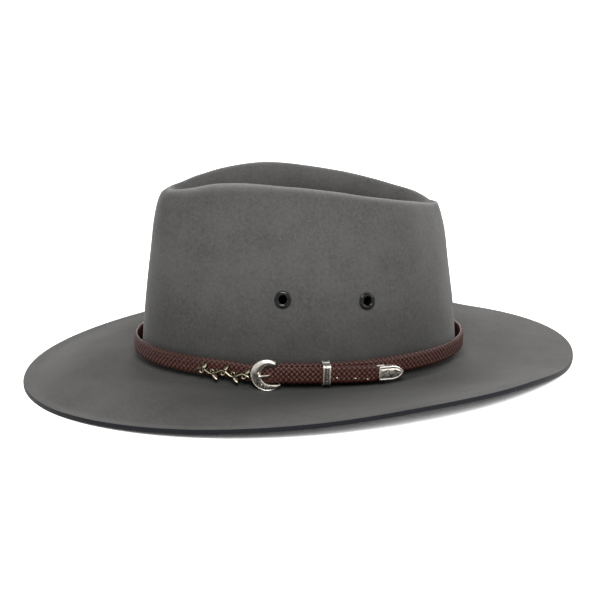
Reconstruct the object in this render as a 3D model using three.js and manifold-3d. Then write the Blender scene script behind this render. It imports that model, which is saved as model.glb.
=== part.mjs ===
// A wide-brimmed wool felt hat with a plaited leather band, in millimetres.
// +Z is up, the hat's front faces -Y and the wearer's left is +X. The origin lies on the surface that the
// brim rests on, under the middle of the hat.
import * as THREE from "three";
import { mergeVertices } from "three/addons/utils/BufferGeometryUtils.js";
import Module from "manifold-3d";

const wasm = await Module();
wasm.setup();

// Felt crown. Its foot is the oval where it meets the brim, measured outside the felt.
const footLength = 209;
const footWidth = 170;
const footHeight = 7.9; // above the surface, at the middle of the hat
const footFillet = 6.2;
const crownTilt = 3.05; // degrees, front up
const crownHeight = 120; // from the foot to the highest point of the ridge
const ridgeLength = 177.5;
const ridgeWidth = 122;
const dentDepth = 32;
const dentFloorLength = 84;
const crownThickness = 2.2;

// Felt brim.
const brimWidth = 77.5;
const brimThickness = 3;
const restWidth = 7.8; // how wide the strip is that lies flat on the surface
const sideLift = 8.5; // how far the edge is turned up at the sides
const brimBow = 3.2; // how far the front stands above a plain slope

// The gap that pieces keep where they touch.
const clearance = 0.3;

// Plaited band: one strap, once round the crown and on over its own start.
const strapHeight = 11;
const strapThickness = 3.2;
const strapLevel = 10.7; // its middle above the crown's foot
const strapSlack = 0.8; // how much further it stands off at the front and back
const rampLength = 30; // over which the strap climbs onto its own start
const tailDrop = 1.2; // how much lower the upper layer lies at the buckle
const tailSag = 2.4; // how much lower still it lies at its end
const tailLength = 70.7; // from the buckle's middle to the strap's end

// Buckle: a crescent over the strap with a bar beneath it, and a prong through a hole in the tail.
const buckleTurn = 64; // degrees from the front, towards the wearer's left
const buckleRadius = 10.2;
const buckleDepth = 2.6;
const buckleRaise = 0.5; // how far its middle lies above the strap's
const buckleLean = 8; // degrees, its lower edge out
const barRadius = 0.8;
const upperHornReach = 8.8; // from the crescent's middle to the leg that holds the bar there
const lowerHornReach = 8.3;
const barPlace = 4.2; // from the buckle's middle towards the tail
const prongRadius = 0.75;
const prongEyeWall = 0.6;
const prongBall = 1.1;
const prongHolePlace = 1.2; // from the buckle's middle towards the tail
const prongHoleSlack = 2.6; // how much longer its hole is than it is high

// Keeper loop and metal tip.
const keeperDistance = 36.6; // from the buckle's middle
const keeperWidth = 4.9;
const keeperWall = 0.7;
const keeperCorner = 0.9; // how much is cut off its corners
const tipLength = 17.8;
const tipPlate = 0.9;
const tipSocket = 5;
const tipHeight = 9.4;
const squeezeRun = 2.5; // over which the strap narrows into the tip

// Openwork vine on the strap, in front of the buckle: a wavy stem with a leaf and a tendril at each bend.
const vineLength = 35.5;
const vineBends = 5;
const vineWave = 1.4; // how far the stem swings to each side
const vineDepth = 1.1;
const vineStem = 0.85; // half the stem's width
const vineShift = -1.9; // its middle from the strap's, down
const vineGap = 0.5; // from its end to the buckle
const tendrilRadius = 1.75;
const tendrilTurn = 306; // degrees that a tendril curls through
const leafReach = 3.5; // across the strap
const leafSlant = 3.7; // along the strap
const leafWidth = 1.75; // half of it

// Eyelets, two on each side: degrees from the front, and shares of crownHeight.
const eyeletBore = 2.6;
const eyeletBarrel = 3.4;
const eyeletFlange = 5.3;
const eyeletDome = 1.3;
const eyeletInnerFlange = 4.9;
const eyeletInnerDome = 1;
const eyeletSeat = 0.45;
const eyelets = [
  { end: "front", turn: 69, height: 0.453 },
  { end: "rear", turn: 99, height: 0.434 },
];

// How finely round forms are divided.
const columns = 56;
const strapStep = 6; // degrees
const eyeletSides = 12;

// The brim's edge, by degrees from the front: its share of sideLift, and of brimBow behind it.
const edgeTable = [
  { turn: 0, lift: 0, bow: 1 },
  { turn: 12, lift: 0, bow: 1 },
  { turn: 25, lift: 0.09, bow: 0.85 },
  { turn: 50, lift: 0.31, bow: 0.5 },
  { turn: 75, lift: 0.67, bow: 0.1 },
  { turn: 100, lift: 1, bow: 0 },
  { turn: 125, lift: 0.72, bow: 0 },
  { turn: 150, lift: 0, bow: 0 },
  { turn: 180, lift: 0, bow: 0 },
];

// Across the brim, from its flat strip (0) to the crown's fillet (1): the share of its rise and of its bow.
const brimTable = [
  { inward: 0, rise: 0, bow: 0 },
  { inward: 0.18, rise: 0.2, bow: 0.55 },
  { inward: 0.4, rise: 0.44, bow: 1 },
  { inward: 0.62, rise: 0.67, bow: 0.85 },
  { inward: 0.82, rise: 0.86, bow: 0.35 },
  { inward: 1, rise: 1, bow: 0 },
];

// The ridge round the crown's dent, by degrees from the front: shares of ridgeWidth's half and of
// crownHeight, and the share of dentDepth on the way to the dent's floor.
const ridgeTable = [
  { turn: 0, halfWidth: 0, height: 0.938, dent: 0.72 },
  { turn: 15, halfWidth: 0.121, height: 0.948, dent: 0.76 },
  { turn: 30, halfWidth: 0.191, height: 0.962, dent: 0.84 },
  { turn: 45, halfWidth: 0.292, height: 0.988, dent: 0.94 },
  { turn: 60, halfWidth: 0.492, height: 1, dent: 1 },
  { turn: 75, halfWidth: 0.744, height: 0.996, dent: 1 },
  { turn: 90, halfWidth: 0.92, height: 0.981, dent: 0.98 },
  { turn: 105, halfWidth: 1, height: 0.951, dent: 0.92 },
  { turn: 120, halfWidth: 0.935, height: 0.921, dent: 0.84 },
  { turn: 135, halfWidth: 0.745, height: 0.888, dent: 0.74 },
  { turn: 150, halfWidth: 0.54, height: 0.859, dent: 0.64 },
  { turn: 165, halfWidth: 0.345, height: 0.842, dent: 0.55 },
  { turn: 180, halfWidth: 0, height: 0.822, dent: 0.52 },
];

// Up the crown's wall, from the fillet (0) to the ridge (1): how far it has leant in towards the ridge.
const wallTable = [
  { rise: 0, front: 0, side: 0, back: 0 },
  { rise: 0.15, front: 0.057, side: 0.03, back: 0.07 },
  { rise: 0.32, front: 0.127, side: 0.08, back: 0.195 },
  { rise: 0.5, front: 0.235, side: 0.17, back: 0.37 },
  { rise: 0.66, front: 0.325, side: 0.29, back: 0.515 },
  { rise: 0.79, front: 0.395, side: 0.44, back: 0.635 },
  { rise: 0.89, front: 0.505, side: 0.61, back: 0.775 },
  { rise: 0.96, front: 0.67, side: 0.79, back: 0.905 },
  { rise: 1, front: 1, side: 1, back: 1 },
];

// Into the dent, from the ridge (0) to the middle line of its floor (1): the share of its depth.
const dentTable = [
  { inward: 0.05, drop: 0.03 },
  { inward: 0.12, drop: 0.14 },
  { inward: 0.21, drop: 0.33 },
  { inward: 0.32, drop: 0.55 },
  { inward: 0.46, drop: 0.76 },
  { inward: 0.63, drop: 0.91 },
  { inward: 0.81, drop: 0.98 },
  { inward: 1, drop: 1 },
];

// Along the crescent, by degrees from the tail's direction: its width as a share of buckleRadius.
const crescentTable = [
  { turn: 57, width: 0.19 },
  { turn: 80, width: 0.3 },
  { turn: 105, width: 0.42 },
  { turn: 135, width: 0.54 },
  { turn: 165, width: 0.61 },
  { turn: 195, width: 0.62 },
  { turn: 225, width: 0.56 },
  { turn: 255, width: 0.47 },
  { turn: 285, width: 0.37 },
  { turn: 308, width: 0.23 },
  { turn: 324, width: 0.06 },
];

// Along the metal tip: its half height as a share of the full one.
const tipTable = [
  { along: 0, half: 1 },
  { along: 0.48, half: 1 },
  { along: 0.64, half: 0.94 },
  { along: 0.78, half: 0.78 },
  { along: 0.89, half: 0.55 },
  { along: 0.96, half: 0.32 },
  { along: 1, half: 0.1 },
];

// Along a leaf, from the stem to its point: shares of leafWidth.
const leafTable = [0.25, 0.6, 1, 0.9, 0.55, 0.12];

// Sections, as shares of half width and of depth: a bar flat behind and domed in front, a thinner one of
// the same kind, and a plate with its front edges rounded.
const domedProfile = [
  [1, 0],
  [1, 0.4],
  [0.66, 0.82],
  [0, 1],
  [-0.66, 0.82],
  [-1, 0.4],
  [-1, 0],
];
const vineProfile = [
  [1, 0],
  [0.7, 0.8],
  [-0.7, 0.8],
  [-1, 0],
];
const plateProfile = [
  [0.9, -0.5],
  [1, -0.38],
  [1, 0.3],
  [0.72, 0.5],
  [-0.72, 0.5],
  [-1, 0.3],
  [-1, -0.38],
  [-0.9, -0.5],
];

// The eyelet's outer flange, from its rim to its bore: shares of its width and of its dome.
const flangeTable = [
  [1, 0],
  [0.93, 0.55],
  [0.6, 1],
  [0.25, 0.9],
  [0, 0.4],
];

const felt = new THREE.MeshStandardMaterial({ color: 0x5d5c5a, roughness: 0.95, metalness: 0 });
const leather = new THREE.MeshStandardMaterial({ color: 0x4a2a22, roughness: 0.5, metalness: 0 });
const silver = new THREE.MeshStandardMaterial({ color: 0xb6b0a2, roughness: 0.35, metalness: 1 });
const brass = new THREE.MeshStandardMaterial({ color: 0xa39478, roughness: 0.4, metalness: 1 });
const enamel = new THREE.MeshStandardMaterial({ color: 0x101012, roughness: 0.2, metalness: 0.2 });

const { degToRad, lerp, smoothstep } = THREE.MathUtils;

// The value of one column of a table at a place between its rows, on a smooth curve with no overshoot.
function read(table, key, column, at) {
  const last = table.length - 1;
  const slope = (i) => (table[i + 1][column] - table[i][column]) / (table[i + 1][key] - table[i][key]);
  const tangent = (i) => {
    if (i === 0) return slope(0);
    if (i === last) return slope(last - 1);
    const before = slope(i - 1);
    const after = slope(i);
    return before * after <= 0 ? 0 : (2 * before * after) / (before + after);
  };
  const i = THREE.MathUtils.clamp(table.findLastIndex((row) => row[key] <= at), 0, last - 1);
  const step = table[i + 1][key] - table[i][key];
  const t = THREE.MathUtils.clamp((at - table[i][key]) / step, 0, 1);
  const h = t * t * (3 - 2 * t);
  return (
    lerp(table[i][column], table[i + 1][column], h) +
    step * t * (1 - t) * ((1 - t) * tangent(i) - t * tangent(i + 1))
  );
}

// Degrees from the front on either side, 0 to 180, of a turn in radians.
function fold(turn) {
  return THREE.MathUtils.radToDeg(Math.acos(THREE.MathUtils.clamp(Math.cos(turn), -1, 1)));
}

// A closed mesh as a solid whose faces point out.
function solidOf(geometry) {
  const bare = new THREE.BufferGeometry().setAttribute("position", geometry.getAttribute("position"));
  const merged = mergeVertices(bare.setIndex(geometry.index), 1e-4);
  const vertProperties = new Float32Array(merged.attributes.position.array);
  const triVerts = new Uint32Array(merged.index.array);
  const made = new wasm.Manifold(new wasm.Mesh({ numProp: 3, vertProperties, triVerts }));
  if (made.volume() > 0) return made;
  return new wasm.Manifold(new wasm.Mesh({ numProp: 3, vertProperties, triVerts: triVerts.toReversed() }));
}

// A solid as a geometry that a mesh can show.
function geometryOf(solid) {
  const { vertProperties, triVerts } = solid.getMesh();
  const geometry = new THREE.BufferGeometry();
  geometry.setAttribute("position", new THREE.BufferAttribute(vertProperties, 3));
  geometry.setIndex(new THREE.BufferAttribute(triVerts, 1));
  geometry.computeVertexNormals();
  return geometry;
}

function geometryFrom(points, triangles) {
  const geometry = new THREE.BufferGeometry().setFromPoints(points);
  return geometry.setIndex(triangles);
}

function named(name, solid, material) {
  const mesh = new THREE.Mesh(geometryOf(solid), material);
  mesh.name = name;
  return mesh;
}

function joined(solids) {
  return solids.reduce((whole, next) => whole.add(next));
}

// A solid through rings of points that all turn the same way, capped at both ends.
function loft(rings) {
  const count = rings[0].length;
  const triangles = [];
  for (let i = 0; i + 1 < rings.length; i++)
    for (let j = 0; j < count; j++) {
      const a = i * count + j;
      const b = i * count + ((j + 1) % count);
      triangles.push(a, b, b + count, a, b + count, a + count);
    }
  const end = (rings.length - 1) * count;
  for (let j = 1; j + 1 < count; j++) triangles.push(0, j + 1, j, end, end + j, end + j + 1);
  return solidOf(geometryFrom(rings.flat(), triangles));
}

// A flat strip along points in a plane, half as wide on each side as `halves` says at each point.
function ribbon(points, halves, depth, profile) {
  const rings = points.map((point, i) => {
    const before = points[Math.max(i - 1, 0)];
    const after = points[Math.min(i + 1, points.length - 1)];
    const along = after.clone().sub(before).normalize();
    return profile.map(
      ([across, out]) =>
        new THREE.Vector3(
          point.x - along.y * across * halves[i],
          point.y + along.x * across * halves[i],
          out * depth,
        ),
    );
  });
  return loft(rings);
}

// A solid's points, each moved by a function.
function reshaped(solid, move) {
  const geometry = geometryOf(solid);
  const position = geometry.getAttribute("position");
  const point = new THREE.Vector3();
  for (let i = 0; i < position.count; i++) {
    point.fromBufferAttribute(position, i);
    position.setXYZ(i, ...move(point));
  }
  return solidOf(geometry);
}

function cylinderBetween(from, to, radius, sides) {
  const axis = to.clone().sub(from);
  const geometry = new THREE.CylinderGeometry(radius, radius, axis.length(), sides);
  const turn = new THREE.Quaternion().setFromUnitVectors(new THREE.Vector3(0, 1, 0), axis.normalize());
  geometry.applyQuaternion(turn);
  geometry.translate(...from.clone().add(to).multiplyScalar(0.5));
  return solidOf(geometry);
}

// The crown's own frame: the plane of its foot, tilted, above the surface.
const crownFrame = new THREE.Group();
crownFrame.position.z = footHeight;
crownFrame.rotation.x = -degToRad(crownTilt);
crownFrame.updateMatrix();

// A point of the foot's oval in the crown's frame, moved out and up.
function ovalPoint(turn, out, up) {
  return new THREE.Vector3(
    (footWidth / 2 + out) * Math.sin(turn),
    -(footLength / 2 + out) * Math.cos(turn),
    up,
  );
}

function ridgePoint(turn) {
  const side = Math.sign(Math.sin(turn));
  return new THREE.Vector3(
    ((side * ridgeWidth) / 2) * read(ridgeTable, "turn", "halfWidth", fold(turn)),
    (-ridgeLength / 2) * Math.cos(turn),
    crownHeight * read(ridgeTable, "turn", "height", fold(turn)),
  );
}

// The brim from its edge (-1), over its flat strip (0), to the crown's fillet (1).
function brimPoint(turn, inward) {
  const edge = ovalPoint(turn, brimWidth, 0);
  const strip = ovalPoint(turn, brimWidth - restWidth, 0);
  const foot = ovalPoint(turn, footFillet, 0).applyMatrix4(crownFrame.matrix);
  const level = brimThickness + sideLift * read(edgeTable, "turn", "lift", fold(turn));
  if (inward <= 0) return strip.lerp(edge, -inward).setZ(level);
  const bow = brimBow * read(edgeTable, "turn", "bow", fold(turn));
  const rise = read(brimTable, "inward", "rise", inward);
  const height = lerp(level, foot.z, rise) + bow * read(brimTable, "inward", "bow", inward);
  return strip.lerp(foot, inward).setZ(height);
}

// The fillet from the brim (0) to the wall (1), in the crown's frame.
function filletPoint(turn, round) {
  const angle = (round * Math.PI) / 2;
  return ovalPoint(turn, footFillet * (1 - Math.sin(angle)), footFillet * (1 - Math.cos(angle)));
}

// The wall from the fillet (0) to the ridge (1), in the crown's frame.
function wallPoint(turn, rise) {
  const backwards = (1 - Math.cos(turn)) / 2;
  const end = lerp(read(wallTable, "rise", "front", rise), read(wallTable, "rise", "back", rise), backwards);
  const lean = lerp(end, read(wallTable, "rise", "side", rise), Math.sin(turn) ** 2);
  const foot = ovalPoint(turn, 0, footFillet);
  const ridge = ridgePoint(turn);
  const point = foot.clone().lerp(ridge, lean);
  return point.setZ(lerp(foot.z, ridge.z, rise));
}

// The dent from the ridge (0) to the middle line of its floor (1), in the crown's frame.
function dentPoint(turn, inward) {
  const ridge = ridgePoint(turn);
  const floorY = (ridge.y * dentFloorLength) / ridgeLength;
  const depth = dentDepth * read(ridgeTable, "turn", "dent", fold(turn));
  const row = dentTable.find((r) => r.inward === inward);
  return new THREE.Vector3(
    ridge.x * (1 - inward),
    lerp(ridge.y, floorY, inward),
    ridge.z - depth * row.drop,
  );
}

// Rows of the felt's upper face, from the edge to the dent's floor. Each gives its point at a turn, and
// across the brim the thickness that lies straight below it.
function feltRows() {
  const inTable = (point) => point.applyMatrix4(crownFrame.matrix);
  const rows = [-1, -0.5].map((inward) => ({
    at: (turn) => brimPoint(turn, inward),
    below: brimThickness,
  }));
  for (const { inward, rise } of brimTable)
    rows.push({
      at: (turn) => brimPoint(turn, inward),
      below: lerp(brimThickness, crownThickness, rise),
    });
  for (const round of [1 / 3, 2 / 3]) rows.push({ at: (turn) => inTable(filletPoint(turn, round)) });
  for (const { rise } of wallTable) rows.push({ at: (turn) => inTable(wallPoint(turn, rise)) });
  for (const { inward } of dentTable) rows.push({ at: (turn) => inTable(dentPoint(turn, inward)) });
  return rows;
}

// The felt's upper face and the same face one thickness inside it, joined at the brim's cut edge.
function feltSolid() {
  const rows = feltRows();
  const last = rows.length - 1;
  const points = [];
  const index = rows.map((row, i) =>
    Array.from({ length: columns }, (_, c) => {
      const mirrored = Math.min(c, columns - c);
      if (i === last && c > columns / 2) return null;
      points.push(row.at((2 * Math.PI * (i === last ? mirrored : c)) / columns));
      return points.length - 1;
    }),
  );
  for (let c = columns / 2 + 1; c < columns; c++) index[last][c] = index[last][columns - c];

  const upper = [];
  for (let i = 0; i < last; i++)
    for (let c = 0; c < columns; c++) {
      const d = (c + 1) % columns;
      const [a, b, e, f] = [index[i][c], index[i][d], index[i + 1][d], index[i + 1][c]];
      if (c < columns / 2) upper.push([a, b, e], [a, e, f]);
      else upper.push([a, b, f], [b, e, f]);
    }

  const normals = points.map(() => new THREE.Vector3());
  for (const [a, b, c] of upper) {
    const face = points[b].clone().sub(points[a]).cross(points[c].clone().sub(points[a]));
    for (const corner of [a, b, c]) normals[corner].add(face);
  }

  const lower = points.map((point, i) =>
    point.clone().addScaledVector(normals[i].normalize(), -crownThickness),
  );
  rows.forEach((row, i) => {
    if (row.below === undefined) return;
    for (const p of index[i]) lower[p].copy(points[p]).setZ(points[p].z - row.below);
  });

  const count = points.length;
  const triangles = upper.flat();
  for (const [a, b, c] of upper) triangles.push(count + a, count + c, count + b);
  for (let c = 0; c < columns; c++) {
    const a = index[0][c];
    const b = index[0][(c + 1) % columns];
    triangles.push(b, a, count + a, b, count + a, count + b);
  }
  return solidOf(geometryFrom([...points, ...lower], triangles));
}

// A frame on the crown's wall, in the crown's frame, with its z axis out of the felt.
function wallFrame(turn, height) {
  const rise = (height - footFillet) / (ridgePoint(turn).z - footFillet);
  const step = 0.01;
  const place = wallPoint(turn, rise);
  const along = wallPoint(turn + step, rise).sub(wallPoint(turn - step, rise)).normalize();
  const up = wallPoint(turn, rise + step).sub(wallPoint(turn, rise - step)).normalize();
  const out = along.clone().cross(up).normalize();
  return new THREE.Matrix4().makeBasis(along, out.clone().cross(along), out).setPosition(place);
}

// Every eyelet's frame, with its name. The wearer's right side mirrors the left.
const eyeletFrames = ["left", "right"].flatMap((side) =>
  eyelets.map(({ end, turn, height }) => ({
    name: `eyelet_${side}_${end}`,
    frame: wallFrame(degToRad(side === "left" ? turn : -turn), height * crownHeight),
  })),
);

// The felt with a hole for each eyelet.
function feltBody() {
  const holes = eyeletFrames.map(({ frame }) => {
    const reach = 3 * crownThickness;
    const bore = eyeletBarrel + clearance;
    const drill = new THREE.CylinderGeometry(bore, bore, reach, eyeletSides);
    drill.rotateX(Math.PI / 2);
    return solidOf(drill.applyMatrix4(frame).applyMatrix4(crownFrame.matrix));
  });
  return named("felt_body", holes.reduce((body, hole) => body.subtract(hole), feltSolid()), felt);
}

// An eyelet: a barrel through the felt, a domed flange outside it and a flat one inside it.
function eyelet(name, frame) {
  const inside = -crownThickness - eyeletSeat;
  const outline = [
    [eyeletBore, inside - eyeletInnerDome],
    [eyeletBarrel, inside - eyeletInnerDome],
    [eyeletInnerFlange, inside - eyeletInnerDome / 2],
    [eyeletInnerFlange, inside],
    [eyeletBarrel, inside],
    [eyeletBarrel, eyeletSeat],
    ...flangeTable.map(([across, out]) => [
      lerp(eyeletBore, eyeletFlange, across),
      eyeletSeat + out * eyeletDome,
    ]),
  ].map(([radius, out]) => new THREE.Vector2(radius, out));
  const ring = new THREE.LatheGeometry([...outline, outline[0]], eyeletSides).rotateX(Math.PI / 2);
  const group = new THREE.Group();
  group.applyMatrix4(frame);
  return group.add(named(name, solidOf(ring), enamel));
}

// How far the strap's middle stands off the crown's foot oval, with room for the keeper's wall behind it.
const strapStandoff = 2 * clearance + keeperWall + strapThickness / 2;
const layerStep = strapThickness + clearance;

// The turn in degrees at a distance from another turn, along a path that gives its point at each turn.
function walk(path, from, distance) {
  const step = Math.sign(distance) / 4;
  let turn = from;
  let left = Math.abs(distance);
  while (left > 0) {
    const piece = path(turn).distanceTo(path(turn + step));
    turn += step * Math.min(1, left / piece);
    left -= piece;
  }
  return turn;
}

const lowerLayer = (turn) => ovalPoint(degToRad(turn), strapStandoff, 0);

// The strap runs on from its start to its end as one turn in degrees, past 360.
const buckleRunTurn = buckleTurn + 360;
const prongEye = barRadius + clearance + prongEyeWall;
const strapStart = walk(lowerLayer, buckleTurn, barPlace + prongEye + clearance);
const rampStart = walk(lowerLayer, buckleRunTurn, -rampLength);
const rampEnd = walk(lowerLayer, buckleRunTurn, -barRadius);
const tipEndTurn = walk(lowerLayer, buckleRunTurn, tailLength + tipLength);
const standStart = walk(lowerLayer, buckleRunTurn, keeperDistance + keeperWidth);
const standEnd = walk(lowerLayer, buckleRunTurn, tailLength - tipSocket);

// The middle of the strap at a turn of its run, in the crown's frame.
function strapMiddle(turn) {
  const climbed = smoothstep(turn, rampStart, rampEnd);
  const pastBuckle = Math.max(turn - buckleRunTurn, 0) / (tipEndTurn - buckleRunTurn);
  const slack = strapSlack * Math.cos(degToRad(turn)) ** 2;
  const stand = (tipPlate + clearance) * smoothstep(turn, standStart, standEnd);
  const out = strapStandoff + slack + layerStep * climbed + stand;
  const up = strapLevel - tailDrop * climbed - tailSag * pastBuckle ** 2;
  return ovalPoint(degToRad(turn), out, up);
}

// A frame in the crown's frame at a turn of the strap's run: x along the strap, y up and z out.
function strapFrame(turn) {
  const step = 0.1;
  const along = strapMiddle(turn + step).sub(strapMiddle(turn - step)).normalize();
  const out = along.clone().cross(new THREE.Vector3(0, 0, 1)).normalize();
  const up = out.clone().cross(along);
  return new THREE.Matrix4().makeBasis(along, up, out).setPosition(strapMiddle(turn));
}

// The turn of the run at a distance along the upper layer from the buckle's middle.
const runTurn = (distance) => walk(strapMiddle, buckleRunTurn, distance);

// The strap's section, as [up, out]: an oval with flattened faces.
function strapSection() {
  const sides = 12;
  const squareness = 0.6; // 1 would be an ellipse, 0 a rectangle
  return Array.from({ length: sides }, (_, i) => {
    const angle = (2 * Math.PI * (i + 0.5)) / sides;
    const flatten = (value) => Math.sign(value) * Math.abs(value) ** squareness;
    const most = flatten(Math.cos(Math.PI / sides));
    return [
      ((strapHeight / 2) * flatten(Math.sin(angle))) / most,
      ((strapThickness / 2) * flatten(Math.cos(angle))) / most,
    ];
  });
}

// The plaited strap, with the prong's hole in its tail.
function plaitedBand() {
  const strapEnd = runTurn(tailLength + tipSocket - clearance);
  const squeezeStart = runTurn(tailLength - squeezeRun);
  const squeezeEnd = runTurn(tailLength);
  const squeezed = (tipHeight - 2 * clearance) / strapHeight;
  const turns = [strapStart, squeezeStart, squeezeEnd, strapEnd];
  const clear = (turn) => turns.slice(0, 4).every((other) => Math.abs(turn - other) > 1);
  for (let turn = Math.ceil(strapStart / strapStep) * strapStep; turn < strapEnd; turn += strapStep)
    if (clear(turn)) turns.push(turn);
  turns.sort((a, b) => a - b);
  const section = strapSection();
  const rings = turns.map((turn) => {
    const frame = strapFrame(turn);
    const share = 1 - (1 - squeezed) * smoothstep(turn, squeezeStart, squeezeEnd);
    return section.map(([up, out]) => new THREE.Vector3(0, share * up, out).applyMatrix4(frame));
  });
  const holeWidth = 2 * (prongRadius + clearance);
  const hole = new THREE.BoxGeometry(holeWidth + prongHoleSlack, holeWidth, 2 * strapThickness);
  hole.translate(prongHolePlace, 0, 0);
  hole.applyMatrix4(strapFrame(buckleRunTurn));
  return named("plaited_band", loft(rings).subtract(solidOf(hole)), leather);
}

// The buckle's group: its middle on the strap's, leaning, with z out of the strap.
function buckleGroup() {
  const group = new THREE.Group();
  group.applyMatrix4(strapFrame(buckleRunTurn));
  group.add(buckleFrame(), buckleProng());
  return group;
}

const frontFace = strapThickness / 2 + clearance;
const barLevel = -layerStep; // the bar lies in the strap's lower layer
const barSides = 8;

// The crescent, domed in front, and the bar that its horns hold beneath the tail.
function buckleFrame() {
  const halves = crescentTable.map(({ width }) => (width * buckleRadius) / 2);
  const line = crescentTable.map(({ turn }, i) => {
    const radius = buckleRadius - halves[i];
    return new THREE.Vector2(radius * Math.cos(degToRad(turn)), radius * Math.sin(degToRad(turn)));
  });
  const lean = new THREE.Matrix4()
    .makeRotationX(degToRad(buckleLean))
    .setPosition(0, buckleRaise, frontFace);
  const flat = ribbon(line, halves, buckleDepth, domedProfile);
  const crescent = reshaped(flat, (point) => point.clone().applyMatrix4(lean));
  const hornHeight = (reach) => Math.sqrt(reach ** 2 - barPlace ** 2);
  const horns = [hornHeight(upperHornReach), -hornHeight(lowerHornReach)].map((height) =>
    new THREE.Vector3(barPlace, height, buckleDepth / 3).applyMatrix4(lean),
  );
  const barEnds = horns.map((horn) => horn.clone().setZ(barLevel));
  const bar = cylinderBetween(...barEnds, barRadius, barSides);
  const legs = horns.map((horn) =>
    cylinderBetween(horn.clone().setZ(barLevel - barRadius), horn, barRadius, barSides),
  );
  return named("buckle_frame", joined([crescent, ...legs, bar]), silver);
}

// The prong: an eye round the bar, a rod out through the tail's hole and a ball on the crescent.
function buckleProng() {
  const bore = barRadius + clearance;
  const eye = new THREE.LatheGeometry(
    [
      new THREE.Vector2(bore, -prongRadius),
      new THREE.Vector2(prongEye, -prongRadius),
      new THREE.Vector2(prongEye, prongRadius),
      new THREE.Vector2(bore, prongRadius),
      new THREE.Vector2(bore, -prongRadius),
    ],
    16,
  ).translate(barPlace, 0, barLevel);
  const crescentWidth = Math.max(...crescentTable.map(({ width }) => width)) * buckleRadius;
  const ballPlace = new THREE.Vector3(
    crescentWidth - buckleRadius - prongBall / 2,
    0,
    frontFace + buckleDepth + prongBall / 2,
  );
  const route = new THREE.CatmullRomCurve3([
    new THREE.Vector3(barPlace - (bore + prongEye) / 2, 0, barLevel),
    new THREE.Vector3(prongHolePlace + prongRadius, 0, -prongRadius),
    new THREE.Vector3(prongHolePlace - 1.5 * prongRadius, 0, frontFace + prongRadius),
    ballPlace,
  ]);
  const round = new THREE.Shape().absarc(0, 0, prongRadius, 0, 2 * Math.PI);
  const rod = new THREE.ExtrudeGeometry(round, {
    steps: 10,
    curveSegments: 4,
    bevelEnabled: false,
    extrudePath: route,
  });
  const ball = new THREE.SphereGeometry(prongBall, 10, 6).translate(...ballPlace);
  return named("buckle_prong", joined([eye, rod, ball].map(solidOf)), silver);
}

// The keeper: a metal loop round both layers of the strap, stepped as they are.
function keeperLoop() {
  const turn = runTurn(keeperDistance);
  const drop = strapLevel - strapMiddle(turn).z;
  const halfOut = strapThickness / 2 + clearance;
  const halfUp = strapHeight / 2 + clearance;
  const back = -halfOut - layerStep;
  const inner = [
    [halfOut - keeperCorner, -halfUp],
    [halfOut, keeperCorner - halfUp],
    [halfOut, halfUp - keeperCorner],
    [halfOut - keeperCorner, halfUp],
    [halfOut - layerStep, halfUp + drop - keeperCorner],
    [halfOut - layerStep - keeperCorner, halfUp + drop],
    [back + keeperCorner, halfUp + drop],
    [back, halfUp + drop - keeperCorner],
    [back, drop - halfUp + keeperCorner],
    [back + keeperCorner, drop - halfUp],
    [-halfOut, keeperCorner - halfUp],
    [keeperCorner - halfOut, -halfUp],
  ];
  const outline = (grow) => {
    const corners = inner.map(([out, up]) => new THREE.Vector2(out, up));
    return corners.map((corner, i) => {
      const before = corners.at(i - 1);
      const after = corners[(i + 1) % corners.length];
      const sides = [corner.clone().sub(before).normalize(), after.clone().sub(corner).normalize()];
      const away = sides[0].clone().add(sides[1]).normalize();
      const miter = grow / Math.sqrt((1 + sides[0].dot(sides[1])) / 2);
      return new THREE.Vector2(corner.x + away.y * miter, corner.y - away.x * miter);
    });
  };
  const loop = (points, width) =>
    solidOf(
      new THREE.ExtrudeGeometry(new THREE.Shape(points), { depth: width, bevelEnabled: false })
        .translate(0, 0, -width / 2)
        .applyMatrix4(
          new THREE.Matrix4().makeBasis(
            new THREE.Vector3(0, 0, 1),
            new THREE.Vector3(0, 1, 0),
            new THREE.Vector3(-1, 0, 0),
          ),
        ),
    );
  const band = loop(outline(keeperWall), keeperWidth).subtract(loop(outline(0), 2 * keeperWidth));
  const group = new THREE.Group();
  group.applyMatrix4(strapFrame(turn));
  return group.add(named("keeper_loop", band, silver));
}

// The metal tip: two plates joined into a point, with the strap's end between them.
function strapTip() {
  const half = tipHeight / 2;
  const line = tipTable.map(({ along }) => new THREE.Vector2(along * tipLength, 0));
  const halves = tipTable.map((row) => row.half * half);
  const depth = strapThickness + 2 * (clearance + tipPlate);
  const body = ribbon(line, halves, depth, plateProfile);
  const socket = new THREE.BoxGeometry(2 * tipSocket, 3 * strapHeight, strapThickness + 2 * clearance);
  const group = new THREE.Group();
  group.applyMatrix4(strapFrame(runTurn(tailLength)));
  return group.add(named("strap_tip", body.subtract(solidOf(socket)), silver));
}

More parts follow.
